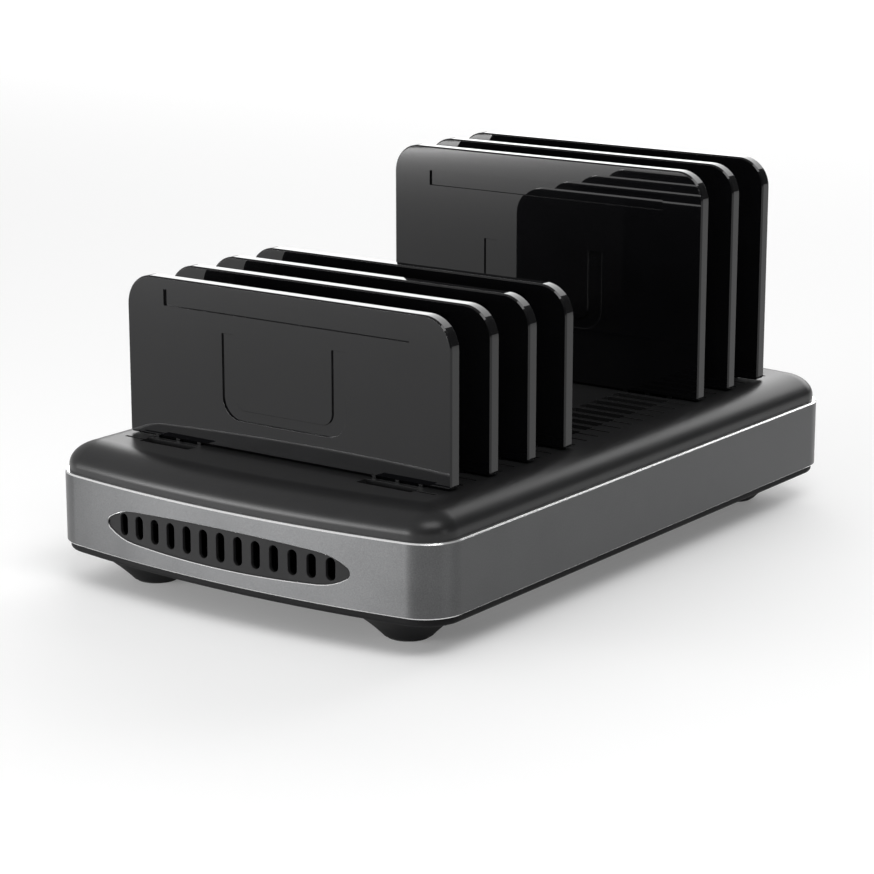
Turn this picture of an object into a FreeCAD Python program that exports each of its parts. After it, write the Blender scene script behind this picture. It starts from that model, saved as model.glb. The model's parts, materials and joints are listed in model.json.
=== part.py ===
import FreeCAD, Part
import math
import os

os.makedirs("parts", exist_ok=True)
V = FreeCAD.Vector

# Charging station organizer in millimetres: X across the base, Y along it, Z up from the floor.
# The end with the bowed vent that faces the viewer is at -Y, the connectors are on the -X side.

# Plan of the base
base_length = 260.0
base_width = 160.0
end_bow_radius = 440.0
plan_corner_radius = 14.0
fit_clearance = 0.15
sliding_clearance = 0.3

# Heights, stacked up from the floor
foot_stand = 11.2
pan_reveal = 2.8
band_height = 24.2
deck_rise = 9.7
divider_gap = 1.0

pan_bottom = foot_stand
band_bottom = pan_bottom + pan_reveal
band_top = band_bottom + band_height
deck_top = band_top + deck_rise
divider_bottom = deck_top + divider_gap
port_z = band_bottom + band_height / 2

# Metallic band round the base
band_wall = 2.0
band_top_chamfer = 0.9
band_bottom_chamfer = 0.4

# Top cover with its rolled shoulder and slotted deck
cover_inset = 1.4
cover_wall = 1.8
cover_wall_rise = 1.8
shoulder_corner = 0.2
deck_wall = 2.4

# Rows of divider slots in the deck
row_end_setback = 23.0
row_pitch = 7.1
slot_setback = 34.4
slot_length = 21.2
slot_width = 4.8
slot_corner = 0.4
slot_depth = 7.5
slot_floor = 1.5
groove_width = 1.2
groove_depth = 0.9
groove_setback = 15.5
rail_margin = 2.0

# Dividers: short ones in rows counted from the viewer's end, tall ones in rows counted from the far end
short_rows = (1, 4, 7, 10)
tall_rows = (8, 5, 2)
divider_width = 133.2
divider_thickness = 4.6
short_height = 53.8
tall_height = 80.5
divider_top_radius = 10.5
divider_foot_radius = 1.0
divider_edge_chamfer = 0.35
tab_thickness = 2.2
tab_end_gap = 0.4
tab_rib_width = 1.9
tab_rib_pitch = 9.2
label_half_width = 50.5
label_height = 5.5
label_drop_short = 3.9
label_drop_tall = 8.9
label_depth = 0.8
grip_depth = 0.6
grip_half_width = 25.6
grip_leg = 5.8
grip_sole = 3.6
grip_radius = 7.5
grip_height = 28.5
grip_lift_short = 10.1
grip_lift_tall = 20.5

# Vent in each bowed end
vent_length = 100.4
vent_height = 12.6
vent_end_radius = 3.75
vent_offset = 1.1
vent_recess = 0.6
vent_thickness = 2.6
vent_flange = 2.2
vent_flange_thickness = 1.4
vent_slot_count = 13
vent_slot_pitch = 7.15
vent_slot_width = 3.4
vent_slot_middle = 9.9
vent_slot_end = 7.3

# Bottom pan, its screw towers and flared feet
pan_inset = 1.2
pan_floor = 2.4
pan_wall = 1.8
pan_rim_height = 7.0
pan_edge_round = 1.2
pan_rib_thickness = 1.6
pan_rib_height = 3.0
pan_rib_pitch = 44.0
foot_side_setback = 27.2
foot_end_setback = 28.1
foot_flare_radius = 21.0
foot_neck_radius = 8.2
foot_flare_sag = 0.7
foot_lip = 0.8
pad_radius = 7.0
pad_thickness = 1.8
pad_groove_radius = 4.0
pad_groove_depth = 0.4
tower_radius = 4.2
tower_joint_z = 19.0

# Screws that close the case from under the pads
case_screw_radius = 1.45
case_screw_head_radius = 2.9
case_screw_head = 2.0
case_screw_seat_z = 6.0
case_screw_length = 26.0
screw_recess_radius = 1.2
screw_recess_depth = 1.0
screw_head_bevel = 0.5
screw_clearance = 0.15

# Port panel let into the band on the -X side
panel_end_setback = 27.0
panel_height = 15.2
panel_corner = 4.0
panel_recess = 1.6
panel_thickness = 2.0
panel_flange = 2.0

# Charging sockets in a row
socket_pitch = 15.0
socket_setback = 12.0
socket_switch_gap = 20.0
socket_inner_width = 12.5
socket_inner_height = 5.12
socket_wall = 0.4
socket_depth = 18.0
socket_proud = 0.2
tongue_width = 11.1
tongue_thickness = 1.84
tongue_top_gap = 0.7
tongue_setback = 0.8
tongue_root = 4.0
tongue_clearance = 0.05

# Mains inlet with two round pins
inlet_setback = 13.0
inlet_width = 20.0
inlet_height = 12.0
inlet_depth = 17.0
inlet_corner = 2.5
inlet_flange = 1.4
inlet_pin_spacing = 8.6
inlet_pin_radius = 1.18
inlet_pin_length = 9.0
inlet_pin_tail = 4.0
inlet_pin_tip_round = 0.8
inlet_lobe_radius = 4.1
inlet_waist = 6.4
inlet_cavity_depth = 11.5

# Rocker switch, tilted to its off side
switch_spacing = 25.0
switch_bezel_width = 16.4
switch_bezel_height = 11.4
switch_bezel_thickness = 1.0
switch_bezel_corner = 1.2
switch_body_width = 14.6
switch_body_height = 9.6
switch_body_depth = 13.0
switch_wall = 0.8
rocker_half_width = 5.6
rocker_heel_half_width = 5.0
rocker_reach = 5.2
rocker_dish = 1.0
rocker_hub_radius = 3.0
rocker_tilt_deg = 9.0
trunnion_radius = 1.1
trunnion_clearance = 0.08
switch_terminal_width = 3.2
switch_terminal_thickness = 0.8
switch_terminal_length = 5.0
switch_terminal_spacing = 7.0

# Circuit board and what it carries
board_thickness = 1.6
board_edge_gap = 0.8
board_side_setback = 34.0
board_end_setback = 34.0
board_notch_depth = 22.0
board_notch_clearance = 11.0
standoff_radius = 3.2
standoff_edge_x = 8.0
standoff_edge_y = 10.0
board_screw_radius = 1.25
board_screw_head_radius = 2.4
board_screw_head = 1.6
board_screw_length = 7.0

# Board parts: insets from the board's edges, setbacks from the mains inlet
transformer_inset = 34.0
transformer_setback = 52.0
core_length = 34.0
core_depth = 12.0
core_height = 20.0
core_leg = 5.0
core_centre_leg = 8.0
core_yoke = 4.0
winding_margin = 0.3
winding_overhang = 6.0
winding_corner = 4.8

bulk_capacitor_inset = 16.0
bulk_capacitor_setback = 92.0
bulk_capacitor_radius = 9.0
bulk_capacitor_height = 14.0
bulk_capacitor_groove_z = 2.4
bulk_capacitor_groove = 0.5

sink_length = 52.0
sink_plate = 2.0
sink_height = 13.0
sink_fin_count = 5
sink_fin_depth = 6.0
sink_fin_thickness = 1.2
primary_sink_inset = 8.0
primary_sink_setback = 42.0
secondary_sink_inset = 46.0
secondary_sink_setback = 98.0

choke_inset = 32.0
choke_setback = 14.0
choke_outer_radius = 8.5
choke_inner_radius = 4.0
choke_height = 10.0
safety_capacitor_inset = 51.0
safety_capacitor_setback = 12.0
safety_capacitor_length = 17.0
safety_capacitor_width = 8.0
safety_capacitor_height = 13.0
safety_capacitor_corner = 1.5
fuse_inset = 16.0
fuse_setback = 18.0
fuse_radius = 4.2
fuse_height = 7.5
output_capacitor_gap = 12.0
output_capacitor_radius = 4.0
output_capacitor_height = 11.0

# Insulated mains wires between inlet, switch and board
wire_radius = 0.9
wire_bend = 2.2
wire_lead = 2.0
wire_inset = 3.0

# Derived places that several pieces share
row_count = 2 * int((base_length / 2 - row_end_setback) / row_pitch)
far_rows = [row_count - row for row in tall_rows]
cover_inner = band_wall + fit_clearance + cover_wall
shoulder_base = band_top + cover_wall_rise
panel_length = base_length - 2 * panel_end_setback
lip_bottom = port_z + panel_height / 2 + panel_flange + sliding_clearance
slot_bottom = deck_top - slot_depth
rail_bottom = slot_bottom - slot_floor
slot_centre_x = base_width / 2 - slot_setback
groove_reach = base_width / 2 - groove_setback
slot_inner_x = slot_centre_x - slot_length / 2
slot_outer_x = slot_centre_x + slot_length / 2
side_face_x = -base_width / 2
panel_face_x = side_face_x + panel_recess
panel_back_x = side_face_x + band_wall + fit_clearance + panel_thickness
socket_outer_width = socket_inner_width + 2 * socket_wall
socket_outer_height = socket_inner_height + 2 * socket_wall
socket_front_x = panel_face_x - socket_proud
socket_rear_x = socket_front_x + socket_depth
inlet_y = panel_length / 2 - inlet_setback
inlet_rear_x = panel_face_x + inlet_depth
switch_y = inlet_y - switch_spacing
switch_rear_x = panel_back_x + switch_body_depth
socket_first_y = socket_setback - panel_length / 2
socket_count = 1 + int((switch_y - socket_switch_gap - socket_first_y) / socket_pitch)
board_top = port_z - socket_outer_height / 2
board_bottom = board_top - board_thickness
board_outer_x = panel_back_x + board_edge_gap
board_inner_x = base_width / 2 - board_side_setback
board_half_length = base_length / 2 - board_end_setback
board_notch_x = board_outer_x + board_notch_depth
board_notch_y = switch_y - board_notch_clearance
standoff_x = board_inner_x - standoff_edge_x
standoff_y = board_half_length - standoff_edge_y
foot_x = base_width / 2 - foot_side_setback
foot_y = base_length / 2 - foot_end_setback
pan_floor_top = pan_bottom + pan_floor
foot_places = [(sx * foot_x, sy * foot_y) for sx in (-1, 1) for sy in (-1, 1)]
standoff_places = [(sx * standoff_x, sy * standoff_y) for sx in (-1, 1) for sy in (-1, 1)]
rocker_tilt = math.radians(rocker_tilt_deg)
rocker_swing = rocker_reach * math.cos(rocker_tilt) + rocker_half_width * math.sin(rocker_tilt)
rocker_pivot_x = side_face_x + sliding_clearance + rocker_swing
overcut = 1.0


def row_y(row):
    """Centre line of a slot row, counted from the end that faces the viewer."""
    return (row - (row_count - 1) / 2) * row_pitch


def outline(inset, z, corner):
    """Closed plan of the base drawn in by inset: straight sides, bowed ends, round corners."""
    half = base_width / 2 - inset
    bow = end_bow_radius - inset
    bow_centre = base_length / 2 - end_bow_radius
    corner_x = half - corner
    corner_y = bow_centre + math.sqrt((bow - corner) ** 2 - corner_x ** 2)
    lean = math.atan2(corner_y - bow_centre, corner_x)
    meet_x = bow * math.cos(lean)
    meet_y = bow_centre + bow * math.sin(lean)
    mid_x = corner_x + corner * math.cos(lean / 2)
    mid_y = corner_y + corner * math.sin(lean / 2)
    apex = base_length / 2 - inset

    def at(x, y):
        return V(x, y, z)

    def arc(first, middle, last):
        return Part.Arc(at(*first), at(*middle), at(*last)).toShape()

    edges = [
        Part.makeLine(at(half, -corner_y), at(half, corner_y)),
        arc((half, corner_y), (mid_x, mid_y), (meet_x, meet_y)),
        arc((meet_x, meet_y), (0, apex), (-meet_x, meet_y)),
        arc((-meet_x, meet_y), (-mid_x, mid_y), (-half, corner_y)),
        Part.makeLine(at(-half, corner_y), at(-half, -corner_y)),
        arc((-half, -corner_y), (-mid_x, -mid_y), (-meet_x, -meet_y)),
        arc((-meet_x, -meet_y), (0, -apex), (meet_x, -meet_y)),
        arc((meet_x, -meet_y), (mid_x, -mid_y), (half, -corner_y)),
    ]
    return Part.Wire(edges)


def prism(inset, z_low, z_high):
    """Upright block on the base's plan, drawn in evenly by inset."""
    face = Part.Face(outline(inset, z_low, plan_corner_radius - inset))
    return face.extrude(V(0, 0, z_high - z_low))


def dome(inset, z_low, rise):
    """Rolled shoulder: a quarter ellipse swept round the plan, closed by a flat deck."""
    path = outline(inset, z_low, plan_corner_radius - inset)
    width = plan_corner_radius - inset - shoulder_corner
    foot = path.Edges[0].Vertexes[0].Point
    heart = foot - V(width, 0, 0)
    crest = heart + V(0, 0, rise)
    ends = (foot, crest) if width >= rise else (crest, foot)
    roll = Part.Ellipse(ends[0], ends[1], heart).toShape(0, math.pi / 2)
    edges = [roll, Part.makeLine(crest, heart), Part.makeLine(heart, foot)]
    profile = Part.Wire(Part.__sortEdges__(edges))
    ring = path.makePipeShell([profile], True, True)
    return ring.fuse(prism(inset + width, z_low, z_low + rise))


def rounded(corners, place):
    """Closed wire through (u, v, radius) corners, each corner rounded, set in space by place(u, v)."""
    edges = []
    count = len(corners)
    cuts = []
    for i in range(count):
        u, v, radius = corners[i]
        before = corners[i - 1]
        after = corners[(i + 1) % count]
        into = V(before[0] - u, before[1] - v, 0).normalize()
        out = V(after[0] - u, after[1] - v, 0).normalize()
        half_angle = into.getAngle(out) / 2
        reach = radius / math.tan(half_angle)
        middle = (into + out).normalize() * (radius / math.sin(half_angle) - radius)
        first = (u + into.x * reach, v + into.y * reach)
        last = (u + out.x * reach, v + out.y * reach)
        cuts.append((first, (u + middle.x, v + middle.y), last, radius))
    for i in range(count):
        first, middle, last, radius = cuts[i]
        if radius > 0:
            edges.append(Part.Arc(place(*first), place(*middle), place(*last)).toShape())
        start = cuts[(i + 1) % count][0]
        if math.dist(last, start) > 1e-6:
            edges.append(Part.makeLine(place(*last), place(*start)))
    return Part.Wire(edges)


def rounded_box(width, height, radius):
    """Corners of a rectangle about (0, 0), all rounded alike."""
    u = width / 2
    v = height / 2
    return [(-u, -v, radius), (u, -v, radius), (u, v, radius), (-u, v, radius)]


def block(x0, x1, y0, y1, z0, z1):
    """Plain box between two corners."""
    return Part.makeBox(x1 - x0, y1 - y0, z1 - z0, V(x0, y0, z0))


def post(radius, x, y, z_low, z_high):
    """Upright round post."""
    return Part.makeCylinder(radius, z_high - z_low, V(x, y, z_low))


def on_side(x):
    """Places (along Y, up) pairs about the port panel's centre line, at depth x."""
    return lambda u, v: V(x, u, port_z + v)


def side_slab(corners, x_low, x_high):
    """Slab with a (y, z) outline, standing between two X planes on the connector side."""
    return Part.Face(rounded(corners, on_side(x_low))).extrude(V(x_high - x_low, 0, 0))


def shifted(corners, du, dv=0.0):
    """The same corners moved along the panel."""
    return [(u + du, v + dv, radius) for u, v, radius in corners]


def vent_outline(grow, centre, y):
    """Long lens with blunt round ends, on the plane of an end face."""
    length = vent_length / 2 + grow
    rise = vent_height / 2 + grow
    tip = vent_end_radius + grow
    tip_x = length - tip
    arc_radius = (tip_x ** 2 + rise ** 2 - tip ** 2) / (2 * (rise - tip))
    lean = math.atan2(arc_radius - rise, tip_x)
    meet_x = tip_x + tip * math.cos(lean)
    meet_z = tip * math.sin(lean)

    def at(x, z):
        return V(centre + x, y, port_z + z)

    def arc(first, middle, last):
        return Part.Arc(at(*first), at(*middle), at(*last)).toShape()

    return Part.Wire([
        arc((meet_x, meet_z), (0, rise), (-meet_x, meet_z)),
        arc((-meet_x, meet_z), (-length, 0), (-meet_x, -meet_z)),
        arc((-meet_x, -meet_z), (0, -rise), (meet_x, -meet_z)),
        arc((meet_x, -meet_z), (length, 0), (meet_x, meet_z)),
    ])


def vent_block(end, grow):
    """The lens carried right through one end wall; end is -1 or 1 along Y."""
    reach = base_length / 2 + overcut
    depth = base_length / 4
    face = Part.Face(vent_outline(grow, end * vent_offset, end * reach))
    return face.extrude(V(0, -end * depth, 0))


def make_side_band():
    """Band: chamfered ring with a lens cut in each end and a long window for the ports."""
    ring = prism(0, band_bottom, band_top)
    top_edges = [e for e in ring.Edges if e.BoundBox.ZMin > band_top - fit_clearance]
    ring = ring.makeChamfer(band_top_chamfer, top_edges)
    low_edges = [e for e in ring.Edges if e.BoundBox.ZMax < band_bottom + fit_clearance]
    ring = ring.makeChamfer(band_bottom_chamfer, low_edges)
    ring = ring.cut(prism(band_wall, band_bottom - overcut, band_top + overcut))
    window = side_slab(rounded_box(panel_length, panel_height, panel_corner),
                       side_face_x - overcut, side_face_x + band_wall + overcut)
    return ring.cut([vent_block(-1, 0), vent_block(1, 0), window])


def make_vent_grille(end):
    """Curved lens insert with upright slots and a flange behind the band."""
    face_zone = prism(vent_recess, band_bottom, band_top)
    face_zone = face_zone.cut(prism(vent_recess + vent_thickness, band_bottom, band_top))
    flange_inset = band_wall + fit_clearance
    flange_zone = prism(flange_inset, band_bottom, band_top)
    flange_zone = flange_zone.cut(prism(flange_inset + vent_flange_thickness, band_bottom, band_top))
    grille = vent_block(end, -fit_clearance).common(face_zone)
    grille = grille.fuse(vent_block(end, vent_flange).common(flange_zone))
    slots = []
    for k in range(vent_slot_count):
        offset = k - (vent_slot_count - 1) / 2
        share = (2 * offset / (vent_slot_count - 1)) ** 2
        height = vent_slot_middle - (vent_slot_middle - vent_slot_end) * share
        x = end * vent_offset + offset * vent_slot_pitch

        def place(u, v):
            return V(x + u, end * (base_length / 2 + overcut), port_z + v)

        wire = rounded(rounded_box(vent_slot_width, height, vent_slot_width / 2), place)
        slots.append(Part.Face(wire).extrude(V(0, -end * base_length / 4, 0)))
    return grille.cut(slots).removeSplitter()


def slot_tool(row, side):
    """Pocket for a divider's tab, with the thin guide groove that runs on outwards."""
    y = row_y(row)
    corners = rounded_box(slot_length, slot_width, slot_corner)
    wire = rounded(corners, lambda u, v: V(side * slot_centre_x + u, y + v, slot_bottom))
    pocket = Part.Face(wire).extrude(V(0, 0, slot_depth + overcut))
    ends = sorted((side * (slot_outer_x - overcut), side * groove_reach))
    groove = block(ends[0], ends[1], y - groove_width / 2, y + groove_width / 2,
                   deck_top - groove_depth, deck_top + overcut)
    return [pocket, groove]


def make_top_cover():
    """Cover: a shell with rolled shoulder, slotted deck, slot rails, screw towers and locating lip."""
    shell = prism(cover_inset, band_top, shoulder_base)
    shell = shell.fuse(dome(cover_inset, shoulder_base, deck_top - shoulder_base))
    shell = shell.fuse(prism(band_wall + fit_clearance, lip_bottom, band_top))
    hollow = prism(cover_inner, lip_bottom - overcut, shoulder_base)
    hollow = hollow.fuse(dome(cover_inner, shoulder_base, deck_top - deck_wall - shoulder_base))
    shell = shell.cut(hollow)
    rail_half = row_count * row_pitch / 2 + rail_margin
    rail_low = slot_inner_x - rail_margin
    rail_high = groove_reach + rail_margin
    fills = []
    for side in (-1, 1):
        edges = sorted((side * rail_low, side * rail_high))
        fills.append(block(edges[0], edges[1], -rail_half, rail_half, rail_bottom,
                           deck_top - deck_wall / 2))
    for x, y in foot_places:
        fills.append(post(tower_radius, x, y, tower_joint_z, rail_bottom + slot_floor / 2))
    shell = shell.fuse(fills)
    cuts = []
    for row in range(row_count):
        for side in (-1, 1):
            cuts.extend(slot_tool(row, side))
    screw_tip = case_screw_seat_z + case_screw_length
    for x, y in foot_places:
        cuts.append(post(case_screw_radius + screw_clearance, x, y, tower_joint_z - overcut,
                         screw_tip + overcut))
    return shell.cut(cuts).removeSplitter()


def flared_foot():
    """Bell-shaped foot about the Z axis: a hollow-sided flare that spreads into the pan's floor."""
    root = V(foot_flare_radius, 0, pan_bottom)
    neck = V(foot_neck_radius, 0, foot_lip)
    middle = (root + neck) / 2 + V(0, 0, foot_flare_sag)
    corners = [root, V(foot_flare_radius, 0, pan_floor_top), V(0, 0, pan_floor_top), V(0, 0, foot_lip), neck]
    edges = [Part.makeLine(a, b) for a, b in zip(corners, corners[1:])]
    edges.append(Part.Arc(neck, middle, root).toShape())
    return Part.Face(Part.Wire(edges)).revolve(V(0, 0, 0), V(0, 0, 1), 360)


def make_bottom_pan():
    """Pan: dished floor with locating rim, flared feet, screw towers, board standoffs and ribs."""
    tray = prism(pan_inset, pan_bottom, band_bottom)
    low_edges = [e for e in tray.Edges if e.BoundBox.ZMax < pan_bottom + fit_clearance]
    tray = tray.makeFillet(pan_edge_round, low_edges)
    rim_inset = band_wall + fit_clearance
    tray = tray.fuse(prism(rim_inset, band_bottom, band_bottom + pan_rim_height))
    tray = tray.cut(prism(rim_inset + pan_wall, pan_floor_top, band_bottom + pan_rim_height + overcut))
    window = block(side_face_x, panel_back_x + overcut, -panel_length / 2 - panel_flange - overcut,
                   panel_length / 2 + panel_flange + overcut,
                   port_z - panel_height / 2 - panel_flange - sliding_clearance, band_top)
    tray = tray.cut(window)
    for end in (-1, 1):
        reach = vent_length / 2 + vent_offset + vent_flange + overcut
        inner_end = base_length / 2 - band_wall - plan_corner_radius
        edges = sorted((end * base_length / 2, end * inner_end))
        tray = tray.cut(block(-reach, reach, edges[0], edges[1],
                              port_z - vent_height / 2 - vent_flange - sliding_clearance, band_top))
    adds = []
    for x, y in foot_places:
        foot = flared_foot()
        foot.translate(V(x, y, 0))
        adds.append(foot)
        adds.append(post(tower_radius, x, y, pan_bottom, tower_joint_z))
    for x, y in standoff_places:
        adds.append(post(standoff_radius, x, y, pan_bottom, board_bottom))
    rib_reach = -panel_back_x - sliding_clearance
    for k in (-1, 0, 1):
        y = k * pan_rib_pitch
        adds.append(block(-rib_reach, rib_reach, y - pan_rib_thickness / 2, y + pan_rib_thickness / 2,
                          pan_bottom + pan_floor / 2, pan_floor_top + pan_rib_height))
    tray = tray.fuse(adds)
    cuts = []
    for x, y in foot_places:
        cuts.append(post(pad_radius + fit_clearance, x, y, foot_lip - overcut, pad_thickness))
        cuts.append(post(case_screw_head_radius + sliding_clearance, x, y, pad_thickness - overcut,
                         case_screw_seat_z))
        cuts.append(post(case_screw_radius + screw_clearance, x, y, case_screw_seat_z - overcut,
                         tower_joint_z + overcut))
    for x, y in standoff_places:
        cuts.append(post(board_screw_radius + screw_clearance, x, y, board_top - board_screw_length - overcut,
                         board_top))
    return tray.cut(cuts).removeSplitter()


def make_rubber_foot(x, y):
    """Pad pressed into the flared foot, with a shallow ring groove in its sole."""
    profile = Part.makePolygon([V(0, 0, pad_groove_depth), V(pad_groove_radius, 0, pad_groove_depth),
                                V(pad_groove_radius, 0, 0), V(pad_radius, 0, 0),
                                V(pad_radius, 0, pad_thickness), V(0, 0, pad_thickness),
                                V(0, 0, pad_groove_depth)])
    pad = Part.Face(profile).revolve(V(0, 0, 0), V(0, 0, 1), 360)
    pad.translate(V(x, y, 0))
    return pad


def make_divider(row, height, label_drop, grip_lift):
    """Divider: rounded panel with two ribbed tabs, a label recess and a U-shaped grip relief."""
    y = row_y(row)
    front = y - divider_thickness / 2
    top = divider_bottom + height
    half = divider_width / 2

    def face_at(depth):
        return lambda u, v: V(u, depth, v)

    corners = [(-half, divider_bottom, divider_foot_radius), (half, divider_bottom, divider_foot_radius),
               (half, top, divider_top_radius), (-half, top, divider_top_radius)]
    panel = Part.Face(rounded(corners, face_at(front))).extrude(V(0, divider_thickness, 0))
    rims = [e for e in panel.Edges if e.BoundBox.YLength < divider_edge_chamfer]
    panel = panel.makeChamfer(divider_edge_chamfer, rims)
    label = block(-label_half_width, label_half_width, front - overcut, front + label_depth,
                  top - label_drop - label_height, top - label_drop)
    sole = divider_bottom + grip_lift
    crown = sole + grip_height
    inner = grip_half_width - grip_leg
    inner_radius = grip_radius - grip_sole
    grip = rounded([(-grip_half_width, crown, 0), (-grip_half_width, sole, grip_radius),
                    (grip_half_width, sole, grip_radius), (grip_half_width, crown, 0),
                    (inner, crown, 0), (inner, sole + grip_sole, inner_radius),
                    (-inner, sole + grip_sole, inner_radius), (-inner, crown, 0)], face_at(front - overcut))
    grip = Part.Face(grip).extrude(V(0, overcut + grip_depth, 0))
    panel = panel.cut([label, grip])
    tabs = []
    tab_half = slot_length / 2 - tab_end_gap
    rib_half = slot_width / 2 - fit_clearance
    root = divider_bottom + divider_gap
    for side in (-1, 1):
        centre = side * slot_centre_x
        tabs.append(block(centre - tab_half, centre + tab_half, y - tab_thickness / 2, y + tab_thickness / 2,
                          slot_bottom, root))
        for k in (-1, 0, 1):
            x = centre + k * tab_rib_pitch
            tabs.append(block(x - tab_rib_width / 2, x + tab_rib_width / 2, y - rib_half, y + rib_half,
                              slot_bottom, root))
    return panel.fuse(tabs).removeSplitter()


def socket_y(index):
    """Centre of one charging socket along the panel."""
    return socket_first_y + index * socket_pitch


def inlet_corners(grow):
    """Outline of the mains inlet's housing on the panel."""
    corners = rounded_box(inlet_width + 2 * grow, inlet_height + 2 * grow, inlet_corner + grow)
    return shifted(corners, inlet_y)


def switch_corners(width, height, corner):
    """Outline about the switch's centre on the panel."""
    return shifted(rounded_box(width, height, corner), switch_y)


def make_port_panel():
    """Panel: inset plate with a flange behind the band and a cut-out for each connector."""
    flange_x = side_face_x + band_wall + fit_clearance
    opening = rounded_box(panel_length - 2 * fit_clearance, panel_height - 2 * fit_clearance,
                          panel_corner - fit_clearance)
    flange = rounded_box(panel_length + 2 * panel_flange, panel_height + 2 * panel_flange,
                         panel_corner + panel_flange)
    panel = side_slab(opening, panel_face_x, panel_back_x).fuse(side_slab(flange, flange_x, panel_back_x))
    x0 = panel_face_x - overcut
    x1 = panel_back_x + overcut
    cuts = []
    for k in range(socket_count):
        hole = rounded_box(socket_outer_width + 2 * fit_clearance, socket_outer_height + 2 * fit_clearance,
                           socket_wall)
        cuts.append(side_slab(shifted(hole, socket_y(k)), x0, x1))
    cuts.append(side_slab(inlet_corners(fit_clearance), x0, x1))
    cuts.append(side_slab(switch_corners(switch_body_width + 2 * fit_clearance,
                                         switch_body_height + 2 * fit_clearance, switch_wall), x0, x1))
    return panel.cut(cuts).removeSplitter()


def make_usb_shell(index):
    """Pressed steel socket shell: an open tube standing on the board behind its panel hole."""
    y = socket_y(index)
    outer = shifted(rounded_box(socket_outer_width, socket_outer_height, socket_wall), y)
    inner = shifted(rounded_box(socket_inner_width, socket_inner_height, 0.0), y)
    shell = side_slab(outer, socket_front_x, socket_rear_x)
    return shell.cut(side_slab(inner, socket_front_x - overcut, socket_rear_x - socket_wall))


def make_usb_tongue(index):
    """Insulator: a root that fills the shell's rear and the thin contact tongue."""
    y = socket_y(index)
    rear = socket_rear_x - socket_wall - tongue_clearance
    root_half = socket_inner_width / 2 - tongue_clearance
    root_rise = socket_inner_height / 2 - tongue_clearance
    root = block(rear - tongue_root, rear, y - root_half, y + root_half,
                 port_z - root_rise, port_z + root_rise)
    top = port_z + socket_inner_height / 2 - tongue_top_gap
    tongue = block(socket_front_x + tongue_setback, rear, y - tongue_width / 2, y + tongue_width / 2,
                   top - tongue_thickness, top)
    return root.fuse(tongue).removeSplitter()


def make_inlet_housing():
    """Mains inlet: a block with a figure-of-eight cavity and a flange behind the panel."""
    front = panel_face_x
    housing = side_slab(inlet_corners(0), front, inlet_rear_x)
    housing = housing.fuse(side_slab(inlet_corners(inlet_flange), panel_back_x, panel_back_x + inlet_flange))
    lobes = []
    for side in (-1, 1):
        centre = V(front - overcut, inlet_y + side * inlet_pin_spacing / 2, port_z)
        lobes.append(Part.makeCylinder(inlet_lobe_radius, inlet_cavity_depth + overcut, centre, V(1, 0, 0)))
    lobes.append(block(front - overcut, front + inlet_cavity_depth, inlet_y - inlet_pin_spacing / 2,
                       inlet_y + inlet_pin_spacing / 2, port_z - inlet_waist / 2, port_z + inlet_waist / 2))
    for side in (-1, 1):
        centre = V(front, inlet_y + side * inlet_pin_spacing / 2, port_z)
        lobes.append(Part.makeCylinder(inlet_pin_radius, inlet_depth + overcut, centre, V(1, 0, 0)))
    return housing.cut(lobes).removeSplitter()


def make_inlet_pins():
    """The two round contact pins with rounded tips and solder tails."""
    pins = []
    start = panel_face_x + inlet_cavity_depth - inlet_pin_length
    for side in (-1, 1):
        y = inlet_y + side * inlet_pin_spacing / 2
        length = inlet_rear_x + inlet_pin_tail - start
        rod = Part.makeCylinder(inlet_pin_radius, length, V(start, y, port_z), V(1, 0, 0))
        tip = [e for e in rod.Edges if e.BoundBox.XMax < start + fit_clearance]
        pins.append(rod.makeFillet(inlet_pin_tip_round, tip))
    return Part.makeCompound(pins)


def make_switch_housing():
    """Rocker switch housing: bezel, open box, trunnion holes and two rear terminals."""
    front = panel_face_x - switch_bezel_thickness
    rear = switch_rear_x
    body = side_slab(switch_corners(switch_body_width, switch_body_height, switch_wall), panel_face_x, rear)
    bezel = side_slab(switch_corners(switch_bezel_width, switch_bezel_height, switch_bezel_corner),
                      front, panel_face_x)
    body = body.fuse(bezel)
    for side in (-1, 1):
        y = switch_y + side * switch_terminal_spacing / 2
        body = body.fuse(block(rear, rear + switch_terminal_length,
                               y - switch_terminal_thickness / 2, y + switch_terminal_thickness / 2,
                               port_z - switch_terminal_width / 2, port_z + switch_terminal_width / 2))
    well = switch_corners(switch_body_width - 2 * switch_wall, switch_body_height - 2 * switch_wall, 0.0)
    body = body.cut(side_slab(well, front - overcut, rear - switch_wall))
    axle = Part.makeCylinder(trunnion_radius + trunnion_clearance, switch_body_height + 2 * overcut,
                             V(rocker_pivot_x, switch_y, port_z - switch_body_height / 2 - overcut))
    return body.cut(axle).removeSplitter()


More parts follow.
